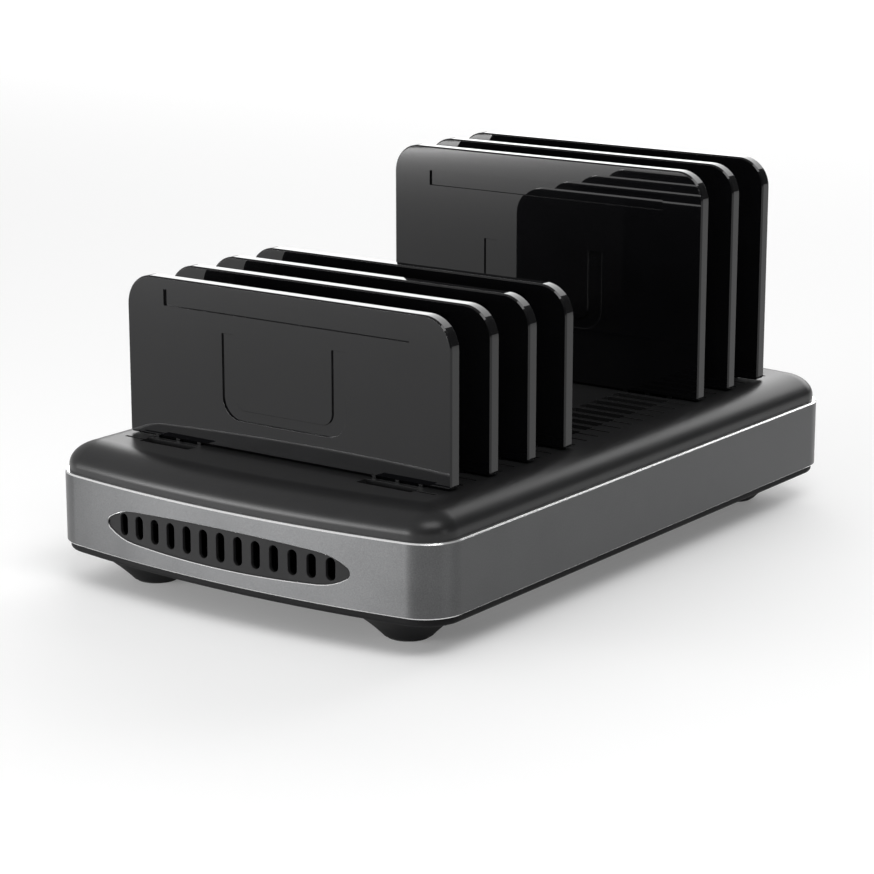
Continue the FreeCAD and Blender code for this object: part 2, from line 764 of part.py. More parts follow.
def make_switch_rocker():
    """Dished rocker on two trunnions, built tilted to its off side."""
    rise = switch_body_height / 2 - switch_wall - sliding_clearance
    reach = rocker_reach

    def at(along, out):
        return V(rocker_pivot_x - out, switch_y + along, port_z - rise)

    hub = rocker_hub_radius
    edges = [
        Part.makeLine(at(-hub, 0), at(-rocker_heel_half_width, 0)),
        Part.makeLine(at(-rocker_heel_half_width, 0), at(-rocker_half_width, reach)),
        Part.Arc(at(-rocker_half_width, reach), at(0, reach - rocker_dish),
                 at(rocker_half_width, reach)).toShape(),
        Part.makeLine(at(rocker_half_width, reach), at(rocker_heel_half_width, 0)),
        Part.makeLine(at(rocker_heel_half_width, 0), at(hub, 0)),
        Part.Arc(at(hub, 0), at(0, -hub), at(-hub, 0)).toShape(),
    ]
    rocker = Part.Face(Part.Wire(edges)).extrude(V(0, 0, 2 * rise))
    axle_half = switch_body_height / 2 - trunnion_clearance
    rocker = rocker.fuse(Part.makeCylinder(trunnion_radius, 2 * axle_half,
                                           V(rocker_pivot_x, switch_y, port_z - axle_half)))
    rocker.rotate(V(rocker_pivot_x, switch_y, port_z), V(0, 0, 1), -rocker_tilt_deg)
    return rocker.removeSplitter()


def make_main_board():
    """Power and charging board, notched round the inlet and switch, with screw holes."""
    corners = [(board_outer_x, -board_half_length), (board_inner_x, -board_half_length),
               (board_inner_x, board_half_length), (board_notch_x, board_half_length),
               (board_notch_x, board_notch_y), (board_outer_x, board_notch_y)]
    wire = Part.makePolygon([V(x, y, board_bottom) for x, y in corners + corners[:1]])
    board = Part.Face(wire).extrude(V(0, 0, board_thickness))
    holes = [post(board_screw_radius + screw_clearance, x, y, board_bottom - overcut, board_top + overcut)
             for x, y in standoff_places]
    return board.cut(holes)


def screw(x, y, seat_z, up, shank_radius, length, head_radius, head):
    """Pan-head screw with a plain round drive recess; up is 1 when its tip points upwards."""
    profile = Part.makePolygon([
        V(0, 0, -head + screw_recess_depth), V(screw_recess_radius, 0, -head + screw_recess_depth),
        V(screw_recess_radius, 0, -head), V(head_radius - screw_head_bevel, 0, -head),
        V(head_radius, 0, screw_head_bevel - head),
        V(head_radius, 0, 0), V(shank_radius, 0, 0), V(shank_radius, 0, length - shank_radius),
        V(0, 0, length), V(0, 0, -head + screw_recess_depth)])
    body = Part.Face(profile).revolve(V(0, 0, 0), V(0, 0, 1), 360)
    if up < 0:
        body.rotate(V(0, 0, 0), V(1, 0, 0), 180)
    body.translate(V(x, y, seat_z))
    return body


def make_case_screws():
    """Four long screws that draw the pan and cover together, hidden above the pads."""
    return Part.makeCompound([
        screw(x, y, case_screw_seat_z, 1, case_screw_radius, case_screw_length, case_screw_head_radius,
              case_screw_head) for x, y in foot_places])


def make_board_screws():
    """Four short screws that hold the board on its standoffs."""
    return Part.makeCompound([
        screw(x, y, board_top, -1, board_screw_radius, board_screw_length, board_screw_head_radius,
              board_screw_head) for x, y in standoff_places])


def make_transformer_core():
    """Ferrite core: a block with two windows round its centre leg."""
    x = board_inner_x - transformer_inset
    y = inlet_y - transformer_setback
    z = board_top
    core = block(x - core_depth / 2, x + core_depth / 2, y - core_length / 2, y + core_length / 2,
                 z, z + core_height)
    window_outer = core_length / 2 - core_leg
    window_inner = core_centre_leg / 2
    for side in (-1, 1):
        edges = sorted((y + side * window_inner, y + side * window_outer))
        core = core.cut(block(x - core_depth, x + core_depth, edges[0], edges[1],
                              z + core_yoke, z + core_height - core_yoke))
    return core


def make_transformer_winding():
    """Taped winding round the core's centre leg."""
    x = board_inner_x - transformer_inset
    y = inlet_y - transformer_setback
    z = board_top
    low = z + core_yoke + winding_margin
    high = z + core_height - core_yoke - winding_margin
    half_x = core_depth / 2 + winding_overhang
    half_y = core_length / 2 - core_leg - winding_margin
    corners = rounded_box(2 * half_x, 2 * half_y, winding_corner)
    coil = Part.Face(rounded(corners, lambda u, v: V(x + u, y + v, low))).extrude(V(0, 0, high - low))
    hole_x = core_depth / 2 + winding_margin
    hole_y = core_centre_leg / 2 + winding_margin
    return coil.cut(block(x - hole_x, x + hole_x, y - hole_y, y + hole_y, low - overcut, high + overcut))


def make_bulk_capacitor():
    """Mains reservoir capacitor: sleeved can with its rolled groove."""
    r = bulk_capacitor_radius
    waist = r - bulk_capacitor_groove
    groove_z = bulk_capacitor_groove_z
    profile = Part.makePolygon([V(0, 0, 0), V(r, 0, 0), V(r, 0, groove_z - bulk_capacitor_groove),
                                V(waist, 0, groove_z), V(r, 0, groove_z + bulk_capacitor_groove),
                                V(r, 0, bulk_capacitor_height), V(0, 0, bulk_capacitor_height), V(0, 0, 0)])
    can = Part.Face(profile).revolve(V(0, 0, 0), V(0, 0, 1), 360)
    can.translate(V(board_inner_x - bulk_capacitor_inset, inlet_y - bulk_capacitor_setback, board_top))
    return can


def make_heat_sink(x, y):
    """Upright aluminium plate with fins along one face."""
    half = sink_length / 2
    sink = block(x, x + sink_plate, y - half, y + half, board_top, board_top + sink_height)
    fins = []
    first = y - half + sink_fin_thickness / 2
    pitch = (sink_length - sink_fin_thickness) / (sink_fin_count - 1)
    for k in range(sink_fin_count):
        centre = first + k * pitch
        fins.append(block(x - sink_fin_depth, x + sink_plate / 2, centre - sink_fin_thickness / 2,
                          centre + sink_fin_thickness / 2, board_top, board_top + sink_height))
    return sink.fuse(fins).removeSplitter()


def make_line_choke():
    """Ring-shaped mains filter choke standing flat on the board."""
    x = board_notch_x + choke_inset
    y = inlet_y - choke_setback
    top = board_top + choke_height
    ring = post(choke_outer_radius, x, y, board_top, top)
    return ring.cut(post(choke_inner_radius, x, y, board_top - overcut, top + overcut))


def make_safety_capacitor():
    """Boxed mains filter capacitor."""
    corners = rounded_box(safety_capacitor_width, safety_capacitor_length, safety_capacitor_corner)

    def place(u, v):
        x = board_notch_x + safety_capacitor_inset
        return V(x + u, inlet_y - safety_capacitor_setback + v, board_top)

    return Part.Face(rounded(corners, place)).extrude(V(0, 0, safety_capacitor_height))


def make_output_capacitors():
    """Row of output capacitors, one behind each pair of charging sockets."""
    cans = []
    x = socket_rear_x + output_capacitor_gap
    for pair in range(socket_count // 2):
        y = (socket_y(2 * pair) + socket_y(2 * pair + 1)) / 2
        cans.append(post(output_capacitor_radius, x, y, board_top, board_top + output_capacitor_height))
    return Part.makeCompound(cans)


def make_mains_fuse():
    """Round radial fuse on the mains side of the board."""
    return post(fuse_radius, board_notch_x + fuse_inset, inlet_y - fuse_setback, board_top,
                board_top + fuse_height)


def wire_along(edges):
    """Round wire swept along joined edges that start in the +X direction."""
    path = Part.Wire(edges)
    start = path.Edges[0].Vertexes[0].Point
    section = Part.Wire(Part.makeCircle(wire_radius, start, V(1, 0, 0)))
    return path.makePipeShell([section], True, False)


def wire_to_board(x, y):
    """Wire that runs inwards from x and bends down onto the board."""
    turn_x = board_notch_x + wire_inset - wire_bend
    drop_x = turn_x + wire_bend
    slope = wire_bend * math.sqrt(0.5)
    middle = V(turn_x + slope, y, port_z - wire_bend + slope)
    return wire_along([
        Part.makeLine(V(x, y, port_z), V(turn_x, y, port_z)),
        Part.Arc(V(turn_x, y, port_z), middle, V(drop_x, y, port_z - wire_bend)).toShape(),
        Part.makeLine(V(drop_x, y, port_z - wire_bend), V(drop_x, y, board_top)),
    ])


def make_mains_wires():
    """Three wires: inlet to switch, switch to board, inlet to board."""
    pin_x = inlet_rear_x + inlet_pin_tail
    blade_x = switch_rear_x + switch_terminal_length
    near_pin = inlet_y - inlet_pin_spacing / 2
    far_pin = inlet_y + inlet_pin_spacing / 2
    near_blade = switch_y + switch_terminal_spacing / 2
    far_blade = switch_y - switch_terminal_spacing / 2
    turn_x = max(pin_x, blade_x) + wire_lead
    loop = (near_pin - near_blade) / 2
    link = wire_along([
        Part.makeLine(V(pin_x, near_pin, port_z), V(turn_x, near_pin, port_z)),
        Part.Arc(V(turn_x, near_pin, port_z), V(turn_x + loop, near_pin - loop, port_z),
                 V(turn_x, near_blade, port_z)).toShape(),
        Part.makeLine(V(turn_x, near_blade, port_z), V(blade_x, near_blade, port_z)),
    ])
    return Part.makeCompound([link, wire_to_board(blade_x, far_blade), wire_to_board(pin_x, far_pin)])


pieces = {
    "side_band": make_side_band(),
    "top_cover": make_top_cover(),
    "bottom_pan": make_bottom_pan(),
    "vent_grille_front": make_vent_grille(-1),
    "vent_grille_rear": make_vent_grille(1),
    "port_panel": make_port_panel(),
    "inlet_housing": make_inlet_housing(),
    "inlet_pins": make_inlet_pins(),
    "switch_housing": make_switch_housing(),
    "switch_rocker": make_switch_rocker(),
    "main_board": make_main_board(),
    "transformer_core": make_transformer_core(),
    "transformer_winding": make_transformer_winding(),
    "bulk_capacitor": make_bulk_capacitor(),
    "heat_sink_primary": make_heat_sink(board_inner_x - primary_sink_inset, inlet_y - primary_sink_setback),
    "heat_sink_secondary": make_heat_sink(socket_rear_x + secondary_sink_inset,
                                          inlet_y - secondary_sink_setback),
    "line_choke": make_line_choke(),
    "safety_capacitor": make_safety_capacitor(),
    "mains_fuse": make_mains_fuse(),
    "mains_wires": make_mains_wires(),
    "output_capacitors": make_output_capacitors(),
    "case_screws": make_case_screws(),
    "board_screws": make_board_screws(),
}
for number, (x, y) in enumerate(foot_places, 1):
    pieces["rubber_foot_%d" % number] = make_rubber_foot(x, y)
for number, row in enumerate(short_rows, 1):
    pieces["divider_short_%d" % number] = make_divider(row, short_height, label_drop_short, grip_lift_short)
for number, row in enumerate(far_rows, 1):
    pieces["divider_tall_%d" % number] = make_divider(row, tall_height, label_drop_tall, grip_lift_tall)
for index in range(socket_count):
    pieces["usb_shell_%02d" % (index + 1)] = make_usb_shell(index)
    pieces["usb_tongue_%02d" % (index + 1)] = make_usb_tongue(index)

for node, shape in pieces.items():
    shape.exportStep("parts/%s.step" % node)
    print(node, "solids", len(shape.Solids), "valid", shape.isValid(), "volume", round(shape.Volume, 1))
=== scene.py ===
"""Looks of a charging station organizer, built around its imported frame. All lengths are metres."""
import json
import math

import bpy
from mathutils import Euler, Matrix, Vector
from mathutils.geometry import delaunay_2d_cdt


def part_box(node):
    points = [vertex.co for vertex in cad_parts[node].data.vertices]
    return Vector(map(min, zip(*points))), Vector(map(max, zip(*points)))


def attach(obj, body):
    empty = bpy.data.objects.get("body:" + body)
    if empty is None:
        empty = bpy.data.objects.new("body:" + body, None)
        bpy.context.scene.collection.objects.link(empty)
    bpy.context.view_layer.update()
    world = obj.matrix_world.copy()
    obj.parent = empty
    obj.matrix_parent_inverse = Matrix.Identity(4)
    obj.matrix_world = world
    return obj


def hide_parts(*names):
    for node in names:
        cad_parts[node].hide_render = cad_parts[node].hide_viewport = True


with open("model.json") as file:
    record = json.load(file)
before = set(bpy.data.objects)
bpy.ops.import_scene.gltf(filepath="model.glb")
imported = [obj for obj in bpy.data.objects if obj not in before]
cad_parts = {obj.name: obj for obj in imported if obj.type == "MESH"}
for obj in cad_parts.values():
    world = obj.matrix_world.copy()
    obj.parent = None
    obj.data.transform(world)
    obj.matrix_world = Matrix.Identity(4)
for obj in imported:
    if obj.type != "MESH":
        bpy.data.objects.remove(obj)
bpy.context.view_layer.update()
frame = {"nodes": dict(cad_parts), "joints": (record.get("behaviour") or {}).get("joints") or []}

# Places read from the frame
BAND_LOW, BAND_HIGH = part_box("side_band")
COVER_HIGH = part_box("top_cover")[1]
PANEL_LOW, PANEL_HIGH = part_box("port_panel")
BASE_WIDTH = BAND_HIGH.x - BAND_LOW.x
BASE_LENGTH = BAND_HIGH.y - BAND_LOW.y
BAND_HEIGHT = BAND_HIGH.z - BAND_LOW.z
DECK_Z = COVER_HIGH.z
PORT_Z = (BAND_LOW.z + BAND_HIGH.z) / 2
SIDE_X = BAND_LOW.x
ROCK_JOINT = next(joint for joint in frame["joints"] if joint["name"] == "switch_rock")
ROCK_PIVOT = Vector(ROCK_JOINT["pos_m"])

# Plan of the base and the seams between its shells
END_BOW = 0.440
PLAN_CORNER = 0.014
BAND_WALL = 0.002
BAND_CHAMFER = 0.00045
BAND_LOW_CHAMFER = 0.0004
BAND_ROUND = 0.0001
WALL_REACH = 1.5 * BAND_WALL
SHELL_FIT = 0.00015
SHELL_INSET = BAND_WALL + SHELL_FIT
SHELL_WALL = 0.0018

# Window in the band that the port panel fills from behind
WINDOW_LAP = 0.002
WINDOW_LENGTH = PANEL_HIGH.y - PANEL_LOW.y - 2 * WINDOW_LAP
WINDOW_HEIGHT = PANEL_HIGH.z - PANEL_LOW.z - 2 * WINDOW_LAP
WINDOW_CORNER = 0.004

# Top cover
COVER_INSET = 0.0014
COVER_WALL_RISE = 0.0018
COVER_ROUND = 0.0002
SHOULDER_CORNER = 0.0002
SHOULDER_STEPS = 20
CEILING_DEPTH = 0.009
LIP_DEPTH = 0.0119

# Divider slots
ROW_COUNT = 30
ROW_PITCH = 0.0071
SLOT_X = 0.0456
SLOT_LENGTH = 0.0212
SLOT_WIDTH = 0.0048
SLOT_CORNER = 0.0004
SLOT_DEPTH = 0.0075
SLOT_ROUND = 0.00008
SLOT_LEDGE = 0.00002
GROOVE_WIDTH = 0.0012
GROOVE_DEPTH = 0.0009
GROOVE_REACH = 0.0645
GROOVE_CORNER = 0.0002

# Dividers
SHORT_COUNT = 4
TALL_COUNT = 3
DIVIDER_GAP = 0.0005
DIVIDER_CORNER = 0.0105
DIVIDER_FOOT_CORNER = 0.001
DIVIDER_CHAMFER = 0.0005
DIVIDER_ROUND = 0.0001

# Tabs under a divider, each with three ribs
TAB_THICKNESS = 0.0022
TAB_LENGTH = 0.0204
TAB_CORNER = 0.0004
TAB_SOLE_ROUND = 0.0003
TAB_SOLE_RUN = 0.0006
TAB_RIB_WIDTH = 0.0019
TAB_RIB_THICKNESS = 0.0045
TAB_RIB_CORNER = 0.0003
TAB_RIB_PITCH = 0.0092

# Reliefs in the front of a divider: a long label and a U-shaped grip
RELIEF_RUN = 0.0002
RELIEF_ROUND = 0.00003
LABEL_WIDTH = 0.101
LABEL_HEIGHT = 0.0055
LABEL_CORNER = 0.0003
LABEL_DEPTH = 0.0008
LABEL_EDGE = 0.00002
GRIP_WIDTH = 0.0512
GRIP_HEIGHT = 0.0285
GRIP_LEG = 0.0058
GRIP_SOLE = 0.0036
GRIP_RADIUS = 0.0075
GRIP_TIP = 0.0003
GRIP_DEPTH = 0.0006
GRIP_EDGE = 0.00012
SHORT_RELIEF = {"label_drop": 0.0039, "grip_lift": 0.0101}
TALL_RELIEF = {"label_drop": 0.0089, "grip_lift": 0.0205}

# Vents in the bowed ends
VENT_LENGTH = 0.1004
VENT_HEIGHT = 0.0132
VENT_TIP = 0.0022
VENT_TIP_TURN = math.radians(58.6)
VENT_SHOULDER = 0.024
VENT_SHIFT = 0.0011
VENT_DROP = 0.0005
VENT_CHAMFER = 0.00018
VENT_CHAMFER_ROUND = 0.00005
VENT_RECESS = 0.0006
VENT_THICKNESS = 0.0012
VENT_FIT = 0.00015
VENT_EDGE = 0.0001
VENT_EDGE_RUN = 1.5 * VENT_EDGE
VENT_PANE_MARGIN = 0.008
VENT_SLOTS = 13
VENT_PITCH = 0.00715
VENT_SLOT_WIDTH = 0.0034
VENT_SLOT_MIDDLE = 0.0097
VENT_SLOT_END = 0.00735
VENT_SLOT_TAPER = 1.2
VENT_SLOT_LIFT = 0.00025
VENT_SLOT_CHAMFER = 0.00012
VENT_SLOT_RUN = 1.3 * VENT_SLOT_CHAMFER

# Charging sockets
SOCKET_COUNT = 10
CONTACT_REACHES = (-0.0035, -0.001, 0.001, 0.0035)
CONTACT_WIDTH = 0.001
CONTACT_SETBACK = 0.0005
CONTACT_LENGTH = 0.0085
CONTACT_RISE = 0.0003
CONTACT_EDGE = CONTACT_RISE / 3
CONTACT_SINK = 0.00002
CONTACT_TOP = PORT_Z + CONTACT_SINK

# Rocker switch
ROCKER_REACH = 0.0052
ROCKER_DISH = 0.001
ROCKER_HALF_WIDTH = 0.0056
ROCKER_TILT = math.radians(-9)
MARK_REACH = 0.0031
MARK_HEIGHT = 0.0026
MARK_LINE = 0.00045
MARK_RISE = 0.00004
MARK_EDGE = MARK_RISE / 4

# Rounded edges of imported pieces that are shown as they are
SOFT_NODES = ("port_panel", "inlet_housing", "switch_housing", "switch_rocker")
SOFT_WIDTH = 0.0002
SOFT_SEGMENTS = 2
SOFT_FLAT = math.radians(1)
SOFT_SHARP = math.radians(40)

# Fineness of round stretches, and what counts as one point or as an empty face
ARC_STEP = math.radians(7.5)
ARC_RUN = 0.004
EDGE_STEPS = 3
SAME_POINT = 1e-8
EMPTY_AREA = 1e-14

# Texture: usual reach of a noise value, its detail, and the lean from which an edge counts as polished
NOISE_LOW = 0.3
NOISE_HIGH = 0.7
SPECK_DETAIL = 2
DRIFT_DETAIL = 4
SPECK_SHARE = 0.5
DRIFT_SHARE = 0.5
LEAN_START = 0.2
LEAN_FULL = 0.5
BRUSH_TURN = 0.25

# Camera at the photograph's angle, in degrees and millimetres of film
CAMERA_PLACE = (0.5384, -0.75525, 0.2674)
CAMERA_AZIMUTH = 35.99
CAMERA_ELEVATION = 14.005
CAMERA_LENS = 111.43
CAMERA_SENSOR = 36

# Floor and light
FLOOR_REACH = 6.0
FLOOR_WHITE = 0.85
FLOOR_LIFT = 0.17
SKY_BRIGHT_SIDE = (-0.65, -0.25, 0.72)
SKY_LOW = 0.10
SKY_HIGH = 0.62
SKY_EDGE = -0.2
LAMP_TARGET = Vector((0, 0, 0.05))

AXIS_X = Vector((1, 0, 0))
AXIS_Y = Vector((0, 1, 0))
AXIS_Z = Vector((0, 0, 1))
QUARTER = math.pi / 2


class Skin:
    """Points with their surface normals, and faces, gathered into one mesh."""

    def __init__(self):
        self.points = []
        self.normals = []
        self.faces = []

    def ring(self, points, normals):
        """Adds points with normals and gives their numbers."""
        start = len(self.points)
        self.points.extend(points)
        self.normals.extend(normals)
        return list(range(start, len(self.points)))

    def bridge(self, first, second, skip=()):
        """Quads between two closed rings of equal count."""
        count = len(first)
        for i in range(count):
            if i not in skip:
                j = (i + 1) % count
                self.faces.append((first[i], first[j], second[j], second[i]))

    def sheet(self, outer, holes, flat):
        """Fills the area between an outer ring and hole rings; flat gives a point's two coordinates."""
        rings = [self.anticlockwise(ring, flat) for ring in (outer, *holes)]
        order = [index for ring in rings for index in ring]
        corners = [Vector(flat(self.points[index])) for index in order]
        loops = []
        start = 0
        for ring in rings:
            loops.append(list(range(start, start + len(ring))))
            start += len(ring)
        _, _, faces, origin, _, inside = delaunay_2d_cdt(corners, [], loops, 1, SAME_POINT)
        for face, owners in zip(faces, inside):
            if owners == [0]:
                self.faces.append(tuple(order[origin[corner][0]] for corner in face))

    def anticlockwise(self, ring, flat):
        """The ring, reversed where it runs clockwise."""
        corners = [flat(self.points[index]) for index in ring]
        pairs = zip(corners, corners[1:] + corners[:1])
        area = sum(a[0] * b[1] - b[0] * a[1] for a, b in pairs)
        return ring if area > 0 else ring[::-1]

    def outward_faces(self):
        """Faces turned to their normals, without the empty ones."""
        faces = []
        for face in self.faces:
            corners = [self.points[i] for i in face]
            area = Vector((0, 0, 0))
            for i in range(1, len(corners) - 1):
                area += (corners[i] - corners[0]).cross(corners[i + 1] - corners[0])
            if area.length < EMPTY_AREA:
                continue
            facing = sum((self.normals[i] for i in face), Vector((0, 0, 0)))
            faces.append(face if area.dot(facing) >= 0 else face[::-1])
        return faces

    def build(self, name, body, material, replaces=()):
        """Makes the object, smooth with set normals, and ties it to its body."""
        faces = self.outward_faces()
        mesh = bpy.data.meshes.new(name)
        mesh.from_pydata([tuple(p) for p in self.points], [], faces)
        mesh.polygons.foreach_set("use_smooth", [True] * len(faces))
        mesh.normals_split_custom_set_from_vertices([tuple(n.normalized()) for n in self.normals])
        mesh.materials.append(material)
        piece = bpy.data.objects.new(name, mesh)
        bpy.context.scene.collection.objects.link(piece)
        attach(piece, body)
        if replaces:
            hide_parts(*replaces)


def trace(loop, grow):
    """Points and outward normals round a loop of arcs, drawn outwards by grow.

    Each arc is (u, v, radius, start, sweep); a sweep below zero makes a hollow corner.
    """
    for u, v, radius, start, sweep in loop:
        turn = 1 if sweep > 0 else -1
        by_angle = math.ceil(abs(sweep) / ARC_STEP)
        by_length = math.ceil(abs(sweep) * radius / ARC_RUN)
        count = max(2, by_angle, by_length)
        reach = radius + turn * grow
        for i in range(count + 1):
            angle = start + sweep * i / count
            across = math.cos(angle)
            up = math.sin(angle)
            yield (u + reach * across, v + reach * up), (turn * across, turn * up)


def profile(*corners):
    """Steps (grow, depth, tilt) along a section through (grow, depth, radius) corners, each rounded."""
    tilts = []
    for here, there in zip(corners, corners[1:]):
        tilts.append(math.atan2(there[1] - here[1], there[0] - here[0]))
    steps = [(corners[0][0], corners[0][1], tilts[0])]
    for (grow, depth, radius), before, after in zip(corners[1:], tilts, tilts[1:]):
        turn = (after - before + math.pi) % (2 * math.pi) - math.pi
        reach = radius * math.tan(abs(turn) / 2)
        side = math.copysign(1, turn)
        start = Vector((grow - math.cos(before) * reach, depth - math.sin(before) * reach))
        centre = start + radius * side * Vector((-math.sin(before), math.cos(before)))
        for i in range(EDGE_STEPS + 1):
            tilt = before + turn * i / EDGE_STEPS
            point = centre - radius * side * Vector((-math.sin(tilt), math.cos(tilt)))
            steps.append((point.x, point.y, tilt))
    steps.append((corners[-1][0], corners[-1][1], tilts[-1]))
    return steps


def lathe(skin, loop, steps, place):
    """Carries a loop through the steps of a section and gives the rings.

    place(u, v, depth) gives a point, the axis there and the two directions in the loop's plane.
    """
    rings = []
    for grow, depth, tilt in steps:
        points = []
        normals = []
        for (u, v), (across, up) in trace(loop, grow):
            point, axis, along, rise = place(u, v, depth)
            points.append(point)
            normals.append(axis * math.cos(tilt) + (along * across + rise * up) * math.sin(tilt))
        rings.append(skin.ring(points, normals))
    return rings


def shell(skin, loop, steps, place, skip=()):
    """A lathe whose rings are joined by quads, apart from the gaps numbered in skip."""
    rings = lathe(skin, loop, steps, place)
    for gap, (first, second) in enumerate(zip(rings, rings[1:])):
        if gap not in skip:
            skin.bridge(first, second)
    return rings


def stud(skin, loop, steps, place, flat):
    """A shell closed by a sheet at both of its ends."""
    rings = shell(skin, loop, steps, place)
    skin.sheet(rings[0], [], flat)
    skin.sheet(rings[-1], [], flat)


def place_level(z, up=1):
    """Plan coordinates at height z; depth runs down, or up when up is -1."""
    return lambda u, v, depth: (Vector((u, v, z - up * depth)), up * AXIS_Z, AXIS_X, AXIS_Y)


def place_side(x):
    """Coordinates (along Y, up from the port line) on the connector side; depth runs inwards from x."""
    return lambda u, v, depth: (Vector((x + depth, u, PORT_Z + v)), -AXIS_X, AXIS_Y, AXIS_Z)


def place_upright(y):
    """Coordinates (X, Z) on an upright face at y that looks along -Y; depth runs inwards."""
    return lambda u, v, depth: (Vector((u, y + depth, v)), -AXIS_Y, AXIS_X, AXIS_Z)


def place_bow(end, inset=0.0):
    """Coordinates (along the vent, up from its middle) on a bowed end; depth runs inwards from inset."""
    def place(u, v, depth):
        radius = END_BOW - inset - depth
        x = u + end * VENT_SHIFT
        out = math.sqrt(radius ** 2 - x ** 2)
        point = Vector((x, end * (BASE_LENGTH / 2 - END_BOW + out), PORT_Z - VENT_DROP + v))
        axis = Vector((x, end * out, 0)) / radius
        along = Vector((out, -end * x, 0)) / radius
        return point, axis, along, AXIS_Z
    return place


def place_rocker(u, v, depth):
    """Coordinates (along Y, up) on the rocker's dished face; depth runs inwards."""
    radius = (ROCKER_HALF_WIDTH ** 2 + ROCKER_DISH ** 2) / (2 * ROCKER_DISH)
    lean = math.asin(u / radius)
    out = ROCKER_REACH - ROCKER_DISH + radius - (radius + depth) * math.cos(lean)
    turn = Matrix.Rotation(ROCKER_TILT, 3, "Z")
    point = ROCK_PIVOT + turn @ Vector((-out, (radius + depth) * math.sin(lean), v))
    axis = turn @ Vector((-math.cos(lean), -math.sin(lean), 0))
    along = turn @ Vector((-math.sin(lean), math.cos(lean), 0))
    return point, axis, along, AXIS_Z


def from_above(point):
    """A point's plan coordinates."""
    return point.x, point.y


def from_front(point):
    """A point's coordinates on the faces of the dividers and the ends."""
    return point.x, point.z


def from_side(point):
    """A point's coordinates on the connector side."""
    return point.y, point.z


def rounded_rect(width, height, radius, u=0.0, v=0.0):
    """Loop of a rectangle with round corners about (u, v)."""
    across = width / 2 - radius
    up = height / 2 - radius
    return [
        (u + across, v + up, radius, 0, QUARTER),
        (u - across, v + up, radius, QUARTER, QUARTER),
        (u - across, v - up, radius, 2 * QUARTER, QUARTER),
        (u + across, v - up, radius, 3 * QUARTER, QUARTER),
    ]


def circle(radius, u=0.0, v=0.0):
    """Loop of a circle about (u, v)."""
    return [(u, v, radius, 0, math.pi), (u, v, radius, math.pi, math.pi)]


def base_plan():
    """Loop of the base's plan: straight sides, bowed ends and round corners."""
    bow_v = BASE_LENGTH / 2 - END_BOW
    corner_u = BASE_WIDTH / 2 - PLAN_CORNER
    corner_v = bow_v + math.sqrt((END_BOW - PLAN_CORNER) ** 2 - corner_u ** 2)
    lean = math.atan2(corner_v - bow_v, corner_u)
    sweep = math.pi - 2 * lean
    return [
        (corner_u, corner_v, PLAN_CORNER, 0, lean),
        (0, bow_v, END_BOW, lean, sweep),
        (-corner_u, corner_v, PLAN_CORNER, math.pi - lean, lean),
        (-corner_u, -corner_v, PLAN_CORNER, math.pi, lean),
        (0, -bow_v, END_BOW, math.pi + lean, sweep),
        (corner_u, -corner_v, PLAN_CORNER, 2 * math.pi - lean, lean),
    ]


def vent_lens():
    """Loop of the vent about its middle: a flattened oval with small round tips."""
    turn = VENT_TIP_TURN
    tip_u = VENT_LENGTH / 2 - VENT_TIP
    side_u = tip_u - (VENT_SHOULDER - VENT_TIP) * math.cos(turn)
    side_v = -(VENT_SHOULDER - VENT_TIP) * math.sin(turn)
    crown = VENT_HEIGHT / 2 - side_v - VENT_SHOULDER
    reach = (side_u ** 2 + crown ** 2) / (2 * crown)
    lean = math.atan2(reach - crown, side_u)
    radius = VENT_SHOULDER + reach
    middle_v = VENT_HEIGHT / 2 - radius
    return [
        (tip_u, 0, VENT_TIP, -turn, 2 * turn),
        (side_u, side_v, VENT_SHOULDER, turn, lean - turn),
        (0, middle_v, radius, lean, math.pi - 2 * lean),
        (-side_u, side_v, VENT_SHOULDER, math.pi - lean, lean - turn),
        (-tip_u, 0, VENT_TIP, math.pi - turn, 2 * turn),
        (-side_u, -side_v, VENT_SHOULDER, math.pi + turn, lean - turn),
        (0, -middle_v, radius, math.pi + lean, math.pi - 2 * lean),
        (side_u, -side_v, VENT_SHOULDER, 2 * math.pi - lean, lean - turn),
    ]


PLAN = base_plan()
LENS = vent_lens()


def feed(tree, value, port):
    """Gives a port a plain value or the output of another node."""
    if isinstance(value, bpy.types.NodeSocket):
        tree.links.new(value, port)
    else:
        port.default_value = value


def arithmetic(tree, operation, *terms):
    """Result of a Math node whose terms are numbers or the outputs of other nodes."""
    node = tree.nodes.new("ShaderNodeMath")
    node.operation = operation
    for term, port in zip(terms, node.inputs):
        feed(tree, term, port)
    return node.outputs[0]


def remap(tree, value, low, high, to_low=0.0, to_high=1.0):
    """Maps low..high of a value to to_low..to_high, held at both ends."""
    node = tree.nodes.new("ShaderNodeMapRange")
    feed(tree, value, node.inputs["Value"])
    feed(tree, low, node.inputs["From Min"])
    feed(tree, high, node.inputs["From Max"])
    feed(tree, to_low, node.inputs["To Min"])
    feed(tree, to_high, node.inputs["To Max"])
    return node.outputs["Result"]


def mix(tree, kind, share, first, second):
    """Mixes two numbers or colours by a share."""
    node = tree.nodes.new("ShaderNodeMix")
    node.data_type = kind
    feed(tree, share, node.inputs["Factor"])
    feed(tree, first, node.inputs["A"])
    feed(tree, second, node.inputs["B"])
    return node.outputs["Result"]


def noise(tree, coords, scale, detail, stretch):
    """Noise value in object space, in repeats per metre."""
    mapping = tree.nodes.new("ShaderNodeMapping")
    feed(tree, coords, mapping.inputs["Vector"])
    feed(tree, stretch, mapping.inputs["Scale"])
    texture = tree.nodes.new("ShaderNodeTexNoise")
    feed(tree, mapping.outputs["Vector"], texture.inputs["Vector"])
    feed(tree, scale, texture.inputs["Scale"])
    feed(tree, detail, texture.inputs["Detail"])
    return texture.outputs["Fac"]


